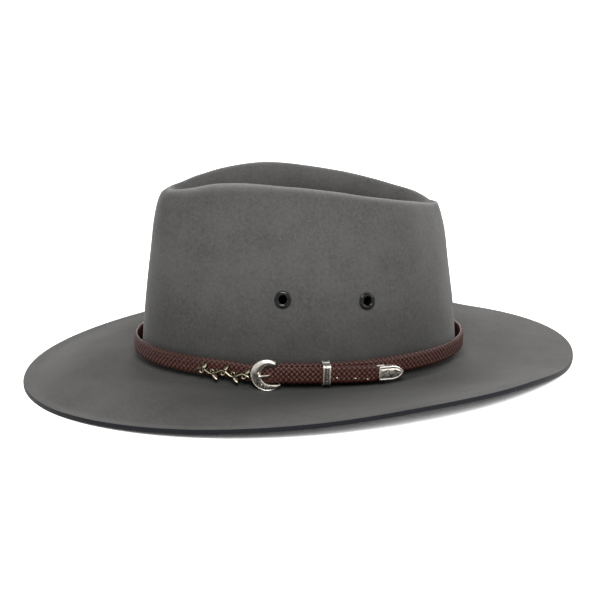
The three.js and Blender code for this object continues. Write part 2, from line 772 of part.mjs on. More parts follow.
// A wavy stem with leaves and curling tendrils in turn on its two sides, bent along the strap's face.
function vineOrnament() {
  const bend = vineLength / vineBends;
  const stemSteps = 4 * vineBends;
  const stemPoint = (along) => new THREE.Vector2(along, vineWave * Math.sin((Math.PI * along) / bend));
  const stemLine = Array.from({ length: stemSteps + 1 }, (_, i) => stemPoint((i * vineLength) / stemSteps));
  const stemHalves = stemLine.map((_, i) => vineStem * lerp(0.6, 1.15, i / stemSteps));
  const pieces = [ribbon(stemLine, stemHalves, vineDepth, vineProfile)];
  for (let i = 0; i < vineBends; i++) {
    const side = i % 2 ? 1 : -1;
    const root = stemPoint((i + 0.5) * bend);
    pieces.push(tendril(root, side), leaf(root, side));
  }
  const start = -buckleRadius - vineGap - vineLength;
  const bent = reshaped(joined(pieces), (point) => {
    const frame = strapFrame(runTurn(start + point.x));
    return new THREE.Vector3(0, vineShift + point.y, frontFace + point.z).applyMatrix4(frame);
  });
  return named("vine_ornament", bent, brass);
}

// A tendril from a crest of the stem, curling in on itself on the other side of the stem.
function tendril(root, side) {
  const steps = 10;
  const centre = new THREE.Vector2(root.x, root.y + side * tendrilRadius);
  const line = Array.from({ length: steps + 1 }, (_, i) => {
    const angle = side * degToRad(lerp(-90, tendrilTurn - 90, i / steps));
    const radius = tendrilRadius * lerp(1, 0.38, i / steps);
    return new THREE.Vector2(centre.x + radius * Math.cos(angle), centre.y + radius * Math.sin(angle));
  });
  const halves = line.map((_, i) => vineStem * lerp(0.85, 0.7, i / steps));
  return ribbon(line, halves, vineDepth * 0.9, vineProfile);
}

// A pointed leaf that grows away from the stem.
function leaf(root, side) {
  const reach = new THREE.Vector2(leafSlant, -side * leafReach);
  const line = leafTable.map((_, i) => root.clone().addScaledVector(reach, i / (leafTable.length - 1)));
  const halves = leafTable.map((share) => share * leafWidth);
  return ribbon(line, halves, vineDepth * 0.8, vineProfile);
}

crownFrame.add(
  plaitedBand(),
  buckleGroup(),
  keeperLoop(),
  strapTip(),
  vineOrnament(),
  ...eyeletFrames.map(({ name, frame }) => eyelet(name, frame)),
);

const hat = new THREE.Group();
hat.add(feltBody(), crownFrame);

export default hat;
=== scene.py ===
"""A wide-brimmed wool felt hat with a plaited leather band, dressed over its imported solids.

Lengths in the classes are millimetres and become metres when a mesh is made. +Z is up, the hat's front
faces -Y and the wearer's left is +X. The crown and its band are worked out in the frame of the crown's foot,
which is tilted and stands a little above the surface; HatForm.on_surface moves points out of it.
"""

import logging
import math
from dataclasses import dataclass, field
from enum import Enum
from functools import cache
from typing import Any, Callable

import bpy
import numpy as np
from mathutils import Matrix, Vector, noise


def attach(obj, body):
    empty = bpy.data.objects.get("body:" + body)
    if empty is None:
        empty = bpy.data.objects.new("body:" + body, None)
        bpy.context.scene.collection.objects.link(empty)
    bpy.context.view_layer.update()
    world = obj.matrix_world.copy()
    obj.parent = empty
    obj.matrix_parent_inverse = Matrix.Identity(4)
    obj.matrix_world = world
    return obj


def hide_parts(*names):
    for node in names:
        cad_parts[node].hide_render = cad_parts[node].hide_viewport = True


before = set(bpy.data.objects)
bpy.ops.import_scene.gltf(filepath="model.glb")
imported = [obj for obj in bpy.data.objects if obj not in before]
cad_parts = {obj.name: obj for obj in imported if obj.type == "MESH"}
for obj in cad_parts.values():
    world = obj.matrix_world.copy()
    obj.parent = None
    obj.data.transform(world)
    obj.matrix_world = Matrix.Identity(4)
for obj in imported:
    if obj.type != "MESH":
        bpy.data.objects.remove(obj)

log = logging.getLogger("hat")

MM = 0.001
TAU = 2 * math.pi
BODY = "root"

Array = np.ndarray
Colour = tuple[float, float, float]


class Side(Enum):
    """The wearer's side that an eyelet is on, as the sign of its turn."""

    LEFT = 1
    RIGHT = -1


class Lay(Enum):
    """The way that a strand winds round the strap."""

    FORWARD = 1
    BACKWARD = -1


@dataclass(frozen=True)
class Table:
    """Rows of shares, read as smooth curves over their first column, with no overshoot."""

    columns: tuple[str, ...]
    rows: tuple[tuple[float, ...], ...]

    def column(self, name: str) -> Array:
        """One column's values."""
        return np.array([row[self.columns.index(name)] for row in self.rows])

    def read(self, name: str, at: Array | float) -> Array:
        """The value of a column at places between the rows.

        Args:
            name: The column.
            at: Places in the first column.

        Returns:
            The column's value at each place.
        """
        keys, values = self.column(self.columns[0]), self.column(name)
        slopes = np.diff(values) / np.diff(keys)
        before, after = slopes[:-1], slopes[1:]
        same = before * after > 0
        inner = np.where(same, 2 * before * after / np.where(same, before + after, 1), 0)
        tangents = np.concatenate([slopes[:1], inner, slopes[-1:]])
        at = np.asarray(at, float)
        i = np.clip(np.searchsorted(keys, at, side="right") - 1, 0, len(keys) - 2)
        step = np.diff(keys)[i]
        t = np.clip((at - keys[i]) / step, 0, 1)
        share = t * t * (3 - 2 * t)
        bend = step * t * (1 - t) * ((1 - t) * tangents[i] - t * tangents[i + 1])
        return values[i] * (1 - share) + values[i + 1] * share + bend


EDGE = Table(
    ("turn", "lift", "bow"),
    ((0, 0, 1), (12, 0, 1), (25, 0.09, 0.85), (50, 0.31, 0.5), (75, 0.67, 0.1), (100, 1, 0),
     (125, 0.72, 0), (150, 0, 0), (180, 0, 0)),
)
BRIM = Table(
    ("inward", "rise", "bow"),
    ((0, 0, 0), (0.18, 0.2, 0.55), (0.4, 0.44, 1), (0.62, 0.67, 0.85), (0.82, 0.86, 0.35), (1, 1, 0)),
)
RIDGE = Table(
    ("turn", "half_width", "height", "dent"),
    ((0, 0, 0.938, 0.72), (15, 0.121, 0.948, 0.76), (30, 0.191, 0.962, 0.84), (45, 0.292, 0.988, 0.94),
     (60, 0.492, 1, 1), (75, 0.744, 0.996, 1), (90, 0.92, 0.981, 0.98), (105, 1, 0.951, 0.92),
     (120, 0.935, 0.921, 0.84), (135, 0.745, 0.888, 0.74), (150, 0.54, 0.859, 0.64),
     (165, 0.345, 0.842, 0.55), (180, 0, 0.822, 0.52)),
)
WALL = Table(
    ("rise", "front", "side", "back"),
    ((0, 0, 0, 0), (0.15, 0.057, 0.03, 0.07), (0.32, 0.127, 0.08, 0.195), (0.5, 0.235, 0.17, 0.37),
     (0.66, 0.325, 0.29, 0.515), (0.79, 0.395, 0.44, 0.635), (0.89, 0.505, 0.61, 0.775),
     (0.96, 0.67, 0.79, 0.905), (1, 1, 1, 1)),
)
DENT = Table(
    ("inward", "drop"),
    ((0, 0), (0.05, 0.03), (0.12, 0.14), (0.21, 0.33), (0.32, 0.55), (0.46, 0.76), (0.63, 0.91),
     (0.81, 0.98), (1, 1)),
)
CRESCENT = Table(
    ("turn", "width"),
    ((57, 0.19), (80, 0.3), (105, 0.42), (135, 0.54), (165, 0.61), (195, 0.62), (225, 0.56),
     (255, 0.47), (285, 0.37), (308, 0.23), (324, 0.06)),
)
TIP = Table(
    ("along", "half"),
    ((0, 1), (0.46, 1), (0.64, 0.93), (0.78, 0.74), (0.89, 0.47), (0.96, 0.24), (1, 0.08)),
)
LEAF = Table(
    ("along", "half"),
    ((0, 0.22), (0.2, 0.62), (0.42, 1), (0.62, 0.9), (0.82, 0.52), (1, 0.08)),
)


def normalised(vectors: Array) -> Array:
    """Vectors with a length of one."""
    return vectors / np.maximum(np.linalg.norm(vectors, axis=-1, keepdims=True), 1e-12)


def mix(a: Array | float, b: Array | float, share: Array | float) -> Array | float:
    """A value between two others."""
    return a + (b - a) * share


def ease(value: Array | float, start: float, end: float) -> Array:
    """A smooth step from 0 at start to 1 at end."""
    t = np.clip((np.asarray(value, float) - start) / (end - start), 0, 1)
    return t * t * (3 - 2 * t)


def as_points(x: Array | float, y: Array | float, z: Array | float) -> Array:
    """Points from their coordinates, which may be single numbers."""
    return np.stack(np.broadcast_arrays(x, y, z), axis=-1).astype(float)


def mesh_object(name: str, points: Array, faces: list[tuple[int, ...]]) -> bpy.types.Object:
    """A smooth mesh object in the scene.

    Args:
        name: The object's name.
        points: Its points, in millimetres.
        faces: Point numbers of each face.

    Returns:
        The linked object.
    """
    mesh = bpy.data.meshes.new(name)
    mesh.from_pydata((points.reshape(-1, 3) * MM).tolist(), [], faces)
    mesh.polygons.foreach_set("use_smooth", [True] * len(mesh.polygons))
    made = bpy.data.objects.new(name, mesh)
    bpy.context.scene.collection.objects.link(made)
    return made


@dataclass
class Shell:
    """Points and faces gathered for one mesh."""

    points: list[Array] = field(default_factory=list)
    faces: list[tuple[int, ...]] = field(default_factory=list)
    count: int = 0

    def add_rings(self, rings: Array, loop: bool = False) -> None:
        """Adds a skin through closed rings of points.

        Args:
            rings: Rings by points by coordinates, all turning the same way.
            loop: Whether the last ring joins the first; otherwise both ends are capped.
        """
        length, around = rings.shape[:2]
        at = self.count
        for i in range(length if loop else length - 1):
            this, after = at + i * around, at + (i + 1) % length * around
            for j in range(around):
                k = (j + 1) % around
                self.faces.append((this + j, this + k, after + k, after + j))
        if not loop:
            end = at + (length - 1) * around
            self.faces.append(tuple(range(at + around - 1, at - 1, -1)))
            self.faces.append(tuple(range(end, end + around)))
        self.points.append(rings.reshape(-1, 3))
        self.count += length * around

    def add_tube(self, path: Array, out: Array, radius: Array | float, sides: int = 8) -> None:
        """Adds a round tube along a path.

        Args:
            path: Points along its middle.
            out: A direction at each point, or one for all, that isn't along the path.
            radius: Its radius, or one for each point.
            sides: How many sides it has.
        """
        along = normalised(np.gradient(path, axis=0))
        out = np.broadcast_to(out, path.shape)
        across = normalised(np.cross(along, out))
        lift = np.cross(across, along)
        angles = TAU * np.arange(sides) / sides
        radius = np.broadcast_to(radius, len(path))[:, None, None]
        round_ = across[:, None] * np.cos(angles)[:, None] + lift[:, None] * np.sin(angles)[:, None]
        self.add_rings(path[:, None] + radius * round_)

    def add_wire(self, path: Array, radius: Array | float) -> None:
        """Adds a thin raised line that lies on a flat face."""
        self.add_tube(path, (0, 0, 1), radius, 7)

    def add_bud(self, path: Array, radius: float, start: float) -> None:
        """Adds a raised leaf along a path, thin at both ends."""
        self.add_wire(path, radius * np.sin(np.linspace(start, 2.9, len(path))))

    def add_ball(self, centre: Array, radius: float, squash: float = 1.0, sides: int = 16) -> None:
        """Adds a ball, or a button when it is squashed along z."""
        rings = sides // 2
        polar = math.pi * (np.arange(rings) + 0.5) / rings
        angles = TAU * np.arange(sides) / sides
        ring = as_points(np.outer(np.sin(polar), np.cos(angles)), np.outer(np.sin(polar), np.sin(angles)),
                         squash * np.cos(polar)[:, None])
        self.add_rings(centre + radius * ring[::-1])

    def build(self, name: str, place: Callable[[Array], Array] | None = None) -> bpy.types.Object:
        """Makes the mesh object, with its points moved by a function where one is given."""
        points = np.concatenate(self.points)
        return mesh_object(name, place(points) if place else points, self.faces)


def cut_away(target: bpy.types.Object, cutter: bpy.types.Object) -> None:
    """Cuts one object out of another and removes the cutter.

    Args:
        target: The object that is cut.
        cutter: A closed mesh.
    """
    modifier = target.modifiers.new("cut", "BOOLEAN")
    modifier.operation = "DIFFERENCE"
    modifier.solver = "EXACT"
    modifier.object = cutter
    graph = bpy.context.evaluated_depsgraph_get()
    whole = target.data
    cut = bpy.data.meshes.new_from_object(target.evaluated_get(graph))
    target.modifiers.remove(modifier)
    target.data = cut
    bpy.data.meshes.remove(whole)
    bpy.data.objects.remove(cutter)


class NodeDesk:
    """Adds nodes to one node tree and wires them."""

    def __init__(self, tree: bpy.types.NodeTree) -> None:
        """Keeps the tree that nodes are added to."""
        self.tree = tree

    def add(self, kind: str, inputs: dict[str | int, Any] | None = None, **settings: Any) -> bpy.types.Node:
        """Adds a node.

        Args:
            kind: Its Blender type name.
            inputs: Socket names or numbers, each with a value or with the output that feeds it.
            **settings: Its own properties.

        Returns:
            The node.
        """
        node = self.tree.nodes.new(kind)
        node.location = (180 * (len(self.tree.nodes) % 9), -220 * (len(self.tree.nodes) // 9))
        for key, value in settings.items():
            setattr(node, key, value)
        for key, value in (inputs or {}).items():
            if isinstance(value, bpy.types.NodeSocket):
                self.tree.links.new(value, node.inputs[key])
            else:
                node.inputs[key].default_value = value
        return node

    def noise(self, scale: Any, detail: float, rough: float, distortion: float = 0.0) -> bpy.types.NodeSocket:
        """Noise over the object's own coordinates, in features per metre."""
        place = self.add("ShaderNodeTexCoord").outputs["Object"]
        inputs = {"Vector": place, "Scale": scale, "Detail": detail, "Roughness": rough,
                  "Distortion": distortion}
        return self.add("ShaderNodeTexNoise", inputs).outputs["Fac"]

    def remap(self, value: Any, low: Any, high: Any, to_low: float = 0.0, to_high: float = 1.0,
              ) -> bpy.types.NodeSocket:
        """A value spread from one range to another and held inside it."""
        inputs = {"Value": value, "From Min": low, "From Max": high, "To Min": to_low, "To Max": to_high}
        return self.add("ShaderNodeMapRange", inputs, clamp=True).outputs["Result"]

    def maths(self, operation: str, a: Any, b: Any = 0.0) -> bpy.types.NodeSocket:
        """The result of one sum."""
        return self.add("ShaderNodeMath", {0: a, 1: b}, operation=operation).outputs[0]

    def blend(self, share: Any, a: Any, b: Any) -> bpy.types.NodeSocket:
        """A colour between two others."""
        colours = [value if isinstance(value, bpy.types.NodeSocket) else (*value, 1.0) for value in (a, b)]
        inputs = {"Factor": share, 6: colours[0], 7: colours[1]}
        return self.add("ShaderNodeMix", inputs, data_type="RGBA").outputs[2]

    def bump(self, height: Any, distance: float, normal: Any = None) -> bpy.types.NodeSocket:
        """A normal that is tilted by a height, with the distance in millimetres."""
        inputs = {"Height": height, "Distance": distance * MM}
        if normal is not None:
            inputs["Normal"] = normal
        return self.add("ShaderNodeBump", inputs).outputs["Normal"]

    def group(self, tree: bpy.types.NodeTree, inputs: dict[str, Any]) -> bpy.types.Node:
        """Places a node group."""
        return self.add("ShaderNodeGroup", inputs, node_tree=tree)

    def attribute(self, name: str) -> bpy.types.NodeSocket:
        """A value that the mesh keeps at each point."""
        return self.add("ShaderNodeAttribute", attribute_name=name).outputs["Fac"]

    def give(self, result: bpy.types.Node, values: dict[str, bpy.types.NodeSocket]) -> bpy.types.NodeTree:
        """Wires a group's results and returns its tree."""
        for key, value in values.items():
            self.tree.links.new(value, result.inputs[key])
        return self.tree


def new_group(name: str, inputs: dict[str, float], outputs: tuple[str, ...]) -> tuple[NodeDesk, Any, Any]:
    """A node group with number sockets.

    Args:
        name: The group's name.
        inputs: Its inputs with their usual values.
        outputs: Its outputs.

    Returns:
        The desk for its tree, the node that gives its inputs and the node that takes its outputs.
    """
    tree = bpy.data.node_groups.new(name, "ShaderNodeTree")
    for key, value in inputs.items():
        tree.interface.new_socket(key, in_out="INPUT", socket_type="NodeSocketFloat").default_value = value
    for key in outputs:
        tree.interface.new_socket(key, in_out="OUTPUT", socket_type="NodeSocketFloat")
    desk = NodeDesk(tree)
    return desk, desk.add("NodeGroupInput"), desk.add("NodeGroupOutput")


FLAT = 0.5
FLAT_BAND = 0.01
BREAK_UP = 0.03


@cache
def edge_wear() -> bpy.types.NodeTree:
    """Masks of a form's worn edges and of its hollows, broken up by noise."""
    desk, given, result = new_group(
        "edge_wear", {"Edge": 0.06, "Hollow": 0.05, "Break Scale": 900.0}, ("Edge", "Hollow"))
    point = desk.add("ShaderNodeNewGeometry").outputs["Pointiness"]
    rough = desk.noise(given.outputs["Break Scale"], 4.0, 0.6)
    shift = desk.maths("MULTIPLY", desk.maths("SUBTRACT", rough, FLAT), BREAK_UP)
    point = desk.maths("ADD", point, shift)
    edge_from, hollow_from = FLAT + FLAT_BAND, FLAT - FLAT_BAND
    edge = desk.remap(point, edge_from, desk.maths("ADD", given.outputs["Edge"], edge_from))
    hollow = desk.remap(point, hollow_from, desk.maths("SUBTRACT", hollow_from, given.outputs["Hollow"]))
    return desk.give(result, {"Edge": edge, "Hollow": hollow})


@cache
def surface_grain() -> bpy.types.NodeTree:
    """A fine grain: its height, and slow patches that tint a finish."""
    desk, given, result = new_group(
        "surface_grain", {"Scale": 2000.0, "Patch Scale": 60.0, "Distortion": 0.4}, ("Height", "Patches"))
    fine = desk.noise(given.outputs["Scale"], 6.0, 0.62, given.outputs["Distortion"])
    patches = desk.noise(given.outputs["Patch Scale"], 3.0, 0.55)
    return desk.give(result, {"Height": fine, "Patches": desk.remap(patches, 0.35, 0.65)})


class Material:
    """A finish whose look is made by nodes."""

    name = "finish"

    def shader(self, desk: NodeDesk) -> dict[str, Any]:
        """The Principled shader's inputs; each finish gives its own."""
        raise NotImplementedError

    def make(self) -> bpy.types.Material:
        """The Blender material, made once."""
        found = bpy.data.materials.get(self.name)
        if found:
            return found
        made = bpy.data.materials.new(self.name)
        made.use_nodes = True
        made.node_tree.nodes.clear()
        desk = NodeDesk(made.node_tree)
        shader = desk.add("ShaderNodeBsdfPrincipled", self.shader(desk))
        desk.add("ShaderNodeOutputMaterial", {"Surface": shader.outputs["BSDF"]})
        return made


@dataclass(frozen=True)
class WoolFelt(Material):
    """Charcoal wool felt: heathered fibres, a matt nap, painted shade on the cut edge, in the fold round the
    crown's foot and in the dent, and a painted highlight along the ridge.
    """

    name: str = "wool_felt"
    dark: Colour = (0.064, 0.0625, 0.0605)
    middle: Colour = (0.102, 0.1, 0.0965)
    light: Colour = (0.178, 0.175, 0.169)
    # The colour of the painted shade in the fold and the dent.
    shaded: Colour = (0.02, 0.0198, 0.0193)
    # Painted shade on the brim's cut edge, cool like a shadow.
    cut: Colour = (0.022, 0.023, 0.028)
    # The paler colour of the painted highlight along the ridge.
    painted_highlight: Colour = (0.34, 0.336, 0.324)
    fibre_scale: float = 3600.0
    fibre_share: float = 0.62
    mottle_scale: float = 520.0
    grain_scale: float = 1500.0
    patch_scale: float = 38.0
    patch_share: float = 0.24
    nap_height: float = 0.17
    specular: float = 0.08
    sheen: float = 0.34
    sheen_rough: float = 0.42
    sheen_tint: Colour = (0.78, 0.78, 0.76)

    def shader(self, desk: NodeDesk) -> dict[str, Any]:
        """Fibres of three greys, mottled, with a nap that lifts the surface."""
        grain = desk.group(surface_grain(), {"Scale": self.grain_scale, "Patch Scale": self.patch_scale,
                                             "Distortion": 1.6})
        fibre = desk.noise(self.fibre_scale, 5.0, 0.7, 2.2)
        mottle = desk.noise(self.mottle_scale, 5.0, 0.66, 0.8)
        tone = desk.maths("ADD", desk.maths("MULTIPLY", fibre, self.fibre_share),
                          desk.maths("MULTIPLY", mottle, 1 - self.fibre_share))
        colour = desk.blend(desk.remap(tone, 0.36, 0.52), self.dark, self.middle)
        colour = desk.blend(desk.remap(tone, 0.5, 0.68, 0.0, 0.75), colour, self.light)
        worn = desk.maths("MULTIPLY", grain.outputs["Patches"], self.patch_share)
        colour = desk.blend(worn, colour, self.light)
        # Painted shade in the fold round the crown's foot and in the dent, darkest at the hat's sides.
        colour = desk.blend(desk.attribute("felt_painted_shade"), colour, self.shaded)
        # Painted highlight along the ridge, broken up by the fibre tone.
        ridge_highlight = desk.maths("MULTIPLY", desk.attribute("felt_ridge_highlight"), desk.remap(tone, 0.3, 0.7, 0.35, 1.0))
        colour = desk.blend(ridge_highlight, colour, self.painted_highlight)
        # Painted shade on the brim's cut edge.
        colour = desk.blend(desk.remap(desk.attribute("felt_edge_shade"), 0.25, 0.75), colour, self.cut)
        lift = desk.maths("ADD", desk.maths("MULTIPLY", grain.outputs["Height"], 0.6),
                          desk.maths("MULTIPLY", mottle, 0.9))
        return {
            "Base Color": colour,
            "Roughness": desk.remap(fibre, 0.3, 0.7, 0.86, 1.0),
            "Specular IOR Level": self.specular,
            "Sheen Weight": self.sheen,
            "Sheen Roughness": self.sheen_rough,
            "Sheen Tint": (*self.sheen_tint, 1.0),
            "Normal": desk.bump(lift, self.nap_height),
        }


@dataclass(frozen=True)
class PlaitedLeather(Material):
    """Waxed reddish-brown leather, with painted shade between the strands and a painted highlight on their
    tops.
    """

    name: str = "plaited_leather"
    # Painted shade down between the strands.
    deep: Colour = (0.005, 0.0018, 0.0013)
    body: Colour = (0.05, 0.0118, 0.0068)
    # Painted highlight on the strands' tops.
    painted_highlight: Colour = (0.118, 0.034, 0.021)
    grain_scale: float = 3200.0
    patch_scale: float = 140.0
    specular: float = 0.33
    wax: float = 0.06
    wax_rough: float = 0.2
    crease: float = 0.05

    def shader(self, desk: NodeDesk) -> dict[str, Any]:
        """Colour by how high a strand lies in the plait, as painted shade where it dips and a painted
        highlight on its top, with fine creases along it.
        """
        lie = desk.attribute("plait_lie")
        grain = desk.group(surface_grain(), {"Scale": self.grain_scale, "Patch Scale": self.patch_scale,
                                             "Distortion": 0.8})
        # Painted shade: the lower a strand lies, the darker.
        colour = desk.blend(desk.remap(lie, 0.3, 0.78), self.deep, self.body)
        patchy = desk.remap(grain.outputs["Patches"], 0.0, 1.0, 0.35, 1.0)
        # Painted highlight on the strands' tops, in patches.
        crown = desk.maths("MULTIPLY", desk.remap(lie, 0.78, 1.0), patchy)
        colour = desk.blend(crown, colour, self.painted_highlight)
        return {
            "Base Color": colour,
            "Roughness": desk.remap(grain.outputs["Height"], 0.3, 0.7, 0.3, 0.48),
            "Specular IOR Level": self.specular,
            "Coat Weight": self.wax,
            "Coat Roughness": self.wax_rough,
            "Normal": desk.bump(grain.outputs["Height"], self.crease),
        }


@dataclass(frozen=True)
class WornMetal(Material):
    """A polished metal, dark with age in its hollows and bright along its edges."""

    name: str = "antique_silver"
    bright: Colour = (0.95, 0.92, 0.85)
    body: Colour = (0.84, 0.795, 0.715)
    tarnish: Colour = (0.04, 0.032, 0.022)
    smooth: float = 0.34
    rough: float = 0.55
    edge: float = 0.07
    hollow: float = 0.05
    aged: float = 0.14
    break_scale: float = 1300.0
    grain_scale: float = 2600.0
    patch_scale: float = 220.0
    pitting: float = 0.03

    def shader(self, desk: NodeDesk) -> dict[str, Any]:
        """Metal between its bright and its tarnished colour, by the form's edges and hollows."""
        wear = desk.group(edge_wear(), {"Edge": self.edge, "Hollow": self.hollow,
                                        "Break Scale": self.break_scale})
        grain = desk.group(surface_grain(), {"Scale": self.grain_scale, "Patch Scale": self.patch_scale,
                                             "Distortion": 0.3})
        aged = desk.maths("MULTIPLY", grain.outputs["Patches"], self.aged)
        dull = desk.maths("MAXIMUM", wear.outputs["Hollow"], aged)
        colour = desk.blend(wear.outputs["Edge"], self.body, self.bright)
        colour = desk.blend(dull, colour, self.tarnish)
        return {
            "Base Color": colour,
            "Metallic": 1.0,
            "Roughness": desk.remap(dull, 0.0, 1.0, self.smooth, self.rough),
            "Normal": desk.bump(grain.outputs["Height"], self.pitting),
        }


ANTIQUE_SILVER = WornMetal()
AGED_BRASS = WornMetal(
    name="aged_brass", bright=(0.85, 0.78, 0.6), body=(0.5, 0.44, 0.32), tarnish=(0.035, 0.028, 0.018),
    smooth=0.36, rough=0.6, hollow=0.04,
)


@dataclass(frozen=True)
class BlackEnamel(Material):
    """Glossy black enamel on metal, worn a little at the rim."""

    name: str = "black_enamel"
    paint: Colour = (0.004, 0.004, 0.0045)
    bare: Colour = (0.03, 0.03, 0.031)
    wear: float = 0.1
    worn_share: float = 0.35
    specular: float = 0.26
    gloss: float = 0.2
    gloss_rough: float = 0.06
    ripple: float = 0.02

    def shader(self, desk: NodeDesk) -> dict[str, Any]:
        """Black paint with faint wear on its edges."""
        wear = desk.group(edge_wear(), {"Edge": self.wear, "Hollow": self.wear, "Break Scale": 2200.0})
        grain = desk.group(surface_grain(), {"Scale": 900.0, "Patch Scale": 300.0, "Distortion": 0.2})
        worn = desk.maths("MULTIPLY", wear.outputs["Edge"], self.worn_share)
        return {
            "Base Color": desk.blend(worn, self.paint, self.bare),
            "Roughness": desk.remap(grain.outputs["Patches"], 0.0, 1.0, 0.12, 0.2),
            "Specular IOR Level": self.specular,
            "Coat Weight": self.gloss,
            "Coat Roughness": self.gloss_rough,
            "Normal": desk.bump(grain.outputs["Height"], self.ripple),
        }


@dataclass(frozen=True)
class PaleFloor(Material):
    """A plain pale studio floor, overexposed as the camera sees it, with a painted shadow close under the
    brim.
    """

    name: str = "pale_floor"
    colour: Colour = (0.86, 0.86, 0.86)
    patch: Colour = (0.8, 0.8, 0.8)
    patch_share: float = 0.03
    glow: float = 1.0
    shade_reach: float = 0.03
    shade_full: float = 0.07
    shade_none: float = 0.23

    def shader(self, desk: NodeDesk) -> dict[str, Any]:
        """One pale colour with faint patches, which glows to the camera where nothing is close and fades to a
        painted shadow under the brim.
        """
        patches = desk.maths("MULTIPLY", desk.noise(3.0, 2.0, 0.5), self.patch_share)
        seen = desk.add("ShaderNodeLightPath").outputs["Is Camera Ray"]
        # Painted shadow: the glow fades where the hat is close above the floor.
        near = desk.add("ShaderNodeAmbientOcclusion", {"Distance": self.shade_reach}, samples=24)
        glow = desk.remap(near.outputs["AO"], self.shade_full, self.shade_none, 0.0, self.glow)
        return {
            "Base Color": desk.blend(patches, self.colour, self.patch),
            "Roughness": 0.9,
            "Specular IOR Level": 0.1,
            "Emission Color": (1.0, 1.0, 1.0, 1.0),
            "Emission Strength": desk.maths("MULTIPLY", seen, glow),
        }


def finish(piece: bpy.types.Object, material: Material, slot: str, *nodes: str) -> bpy.types.Object:
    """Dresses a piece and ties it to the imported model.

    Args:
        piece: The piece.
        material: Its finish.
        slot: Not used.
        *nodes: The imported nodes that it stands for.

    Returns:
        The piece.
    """
    piece.data.materials.clear()
    piece.data.materials.append(material.make())
    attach(piece, BODY)
    if nodes:
        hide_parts(*nodes)
    log.info("%s: %d faces", piece.name, len(piece.data.polygons))
    return piece


@dataclass
class HatForm:
    """The hat's main sizes and the surfaces that they give."""

    foot_length: float = 209
    foot_width: float = 170
    foot_height: float = 7.9
    foot_fillet: float = 6.2
    crown_tilt: float = 3.05
    crown_height: float = 120
    ridge_length: float = 177.5
    ridge_width: float = 122
    dent_depth: float = 32
    dent_floor_length: float = 84
    crown_thickness: float = 2.2
    brim_width: float = 77.5
    brim_thickness: float = 3
    rest_width: float = 7.8
    side_lift: float = 8.5
    brim_bow: float = 3.2

    def on_surface(self, points: Array) -> Array:
        """Points of the crown's frame in the hat's own frame."""
        tilt = math.radians(self.crown_tilt)
        y = points[..., 1] * math.cos(tilt) + points[..., 2] * math.sin(tilt)
        z = points[..., 2] * math.cos(tilt) - points[..., 1] * math.sin(tilt)
        return as_points(points[..., 0], y, z + self.foot_height)

    def oval(self, turn: Array, out: Array | float, up: Array | float) -> Array:
        """Points of the foot's oval, moved out and up."""
        return as_points((self.foot_width / 2 + out) * np.sin(turn),
                         -(self.foot_length / 2 + out) * np.cos(turn), up)

    def folded(self, turn: Array) -> Array:
        """Degrees from the front on either side, 0 to 180."""
        return np.degrees(np.arccos(np.clip(np.cos(turn), -1, 1)))

    def ridge(self, turn: Array) -> Array:
        """Points of the ridge round the crown's dent."""
        at = self.folded(turn)
        half = self.ridge_width / 2 * RIDGE.read("half_width", at)
        return as_points(np.sign(np.sin(turn)) * half, -self.ridge_length / 2 * np.cos(turn),
                         self.crown_height * RIDGE.read("height", at))

    def brim(self, turn: Array, inward: float) -> Array:
        """The brim from its edge (-1), over its flat strip (0), to the crown's fillet (1)."""
        edge = self.oval(turn, self.brim_width, 0)
        strip = self.oval(turn, self.brim_width - self.rest_width, 0)
        foot = self.on_surface(self.oval(turn, self.foot_fillet, 0))
        at = self.folded(turn)
        level = self.brim_thickness + self.side_lift * EDGE.read("lift", at)
        if inward <= 0:
            points = mix(strip, edge, -inward)
            return as_points(points[..., 0], points[..., 1], level)
        bow = self.brim_bow * EDGE.read("bow", at) * BRIM.read("bow", inward)
        points = mix(strip, foot, inward)
        height = mix(level, foot[..., 2], BRIM.read("rise", inward)) + bow
        return as_points(points[..., 0], points[..., 1], height)

    def fillet(self, turn: Array, share: float) -> Array:
        """The fillet from the brim (0) to the wall (1), in the crown's frame."""
        angle = share * math.pi / 2
        return self.oval(turn, self.foot_fillet * (1 - math.sin(angle)),
                         self.foot_fillet * (1 - math.cos(angle)))

    def wall(self, turn: Array, rise: Array | float) -> Array:
        """The wall from the fillet (0) to the ridge (1), in the crown's frame."""
        backwards = (1 - np.cos(turn)) / 2
        end = mix(WALL.read("front", rise), WALL.read("back", rise), backwards)
        lean = mix(end, WALL.read("side", rise), np.sin(turn) ** 2)[..., None]
        foot = self.oval(turn, 0, self.foot_fillet)
        ridge = self.ridge(turn)
        points = mix(foot, ridge, lean)
        return as_points(points[..., 0], points[..., 1], mix(foot[..., 2], ridge[..., 2], rise))

    def dent(self, turn: Array, inward: float) -> Array:
        """The dent from the ridge (0) to the middle line of its floor (1), in the crown's frame."""
        ridge = self.ridge(turn)
        depth = self.dent_depth * RIDGE.read("dent", self.folded(turn)) * DENT.read("drop", inward)
        floor = ridge[..., 1] * self.dent_floor_length / self.ridge_length
        return as_points(ridge[..., 0] * (1 - inward), mix(ridge[..., 1], floor, inward),
                         ridge[..., 2] - depth)

    def wall_frame(self, turn: float, height: float) -> tuple[Array, Array]:
        """A place on the wall.

        Args:
            turn: Radians from the front.
            height: Above the foot.

        Returns:
            The point, and the axes along, up and out as the rows of a matrix, in the crown's frame.
        """
        at = np.array(turn)
        rise = (height - self.foot_fillet) / (float(self.ridge(at)[2]) - self.foot_fillet)
        step = 0.01
        along = normalised(self.wall(at + step, rise) - self.wall(at - step, rise))
        up = normalised(self.wall(at, rise + step) - self.wall(at, rise - step))
        out = normalised(np.cross(along, up))
        return self.wall(at, rise), np.stack([along, np.cross(out, along), out])


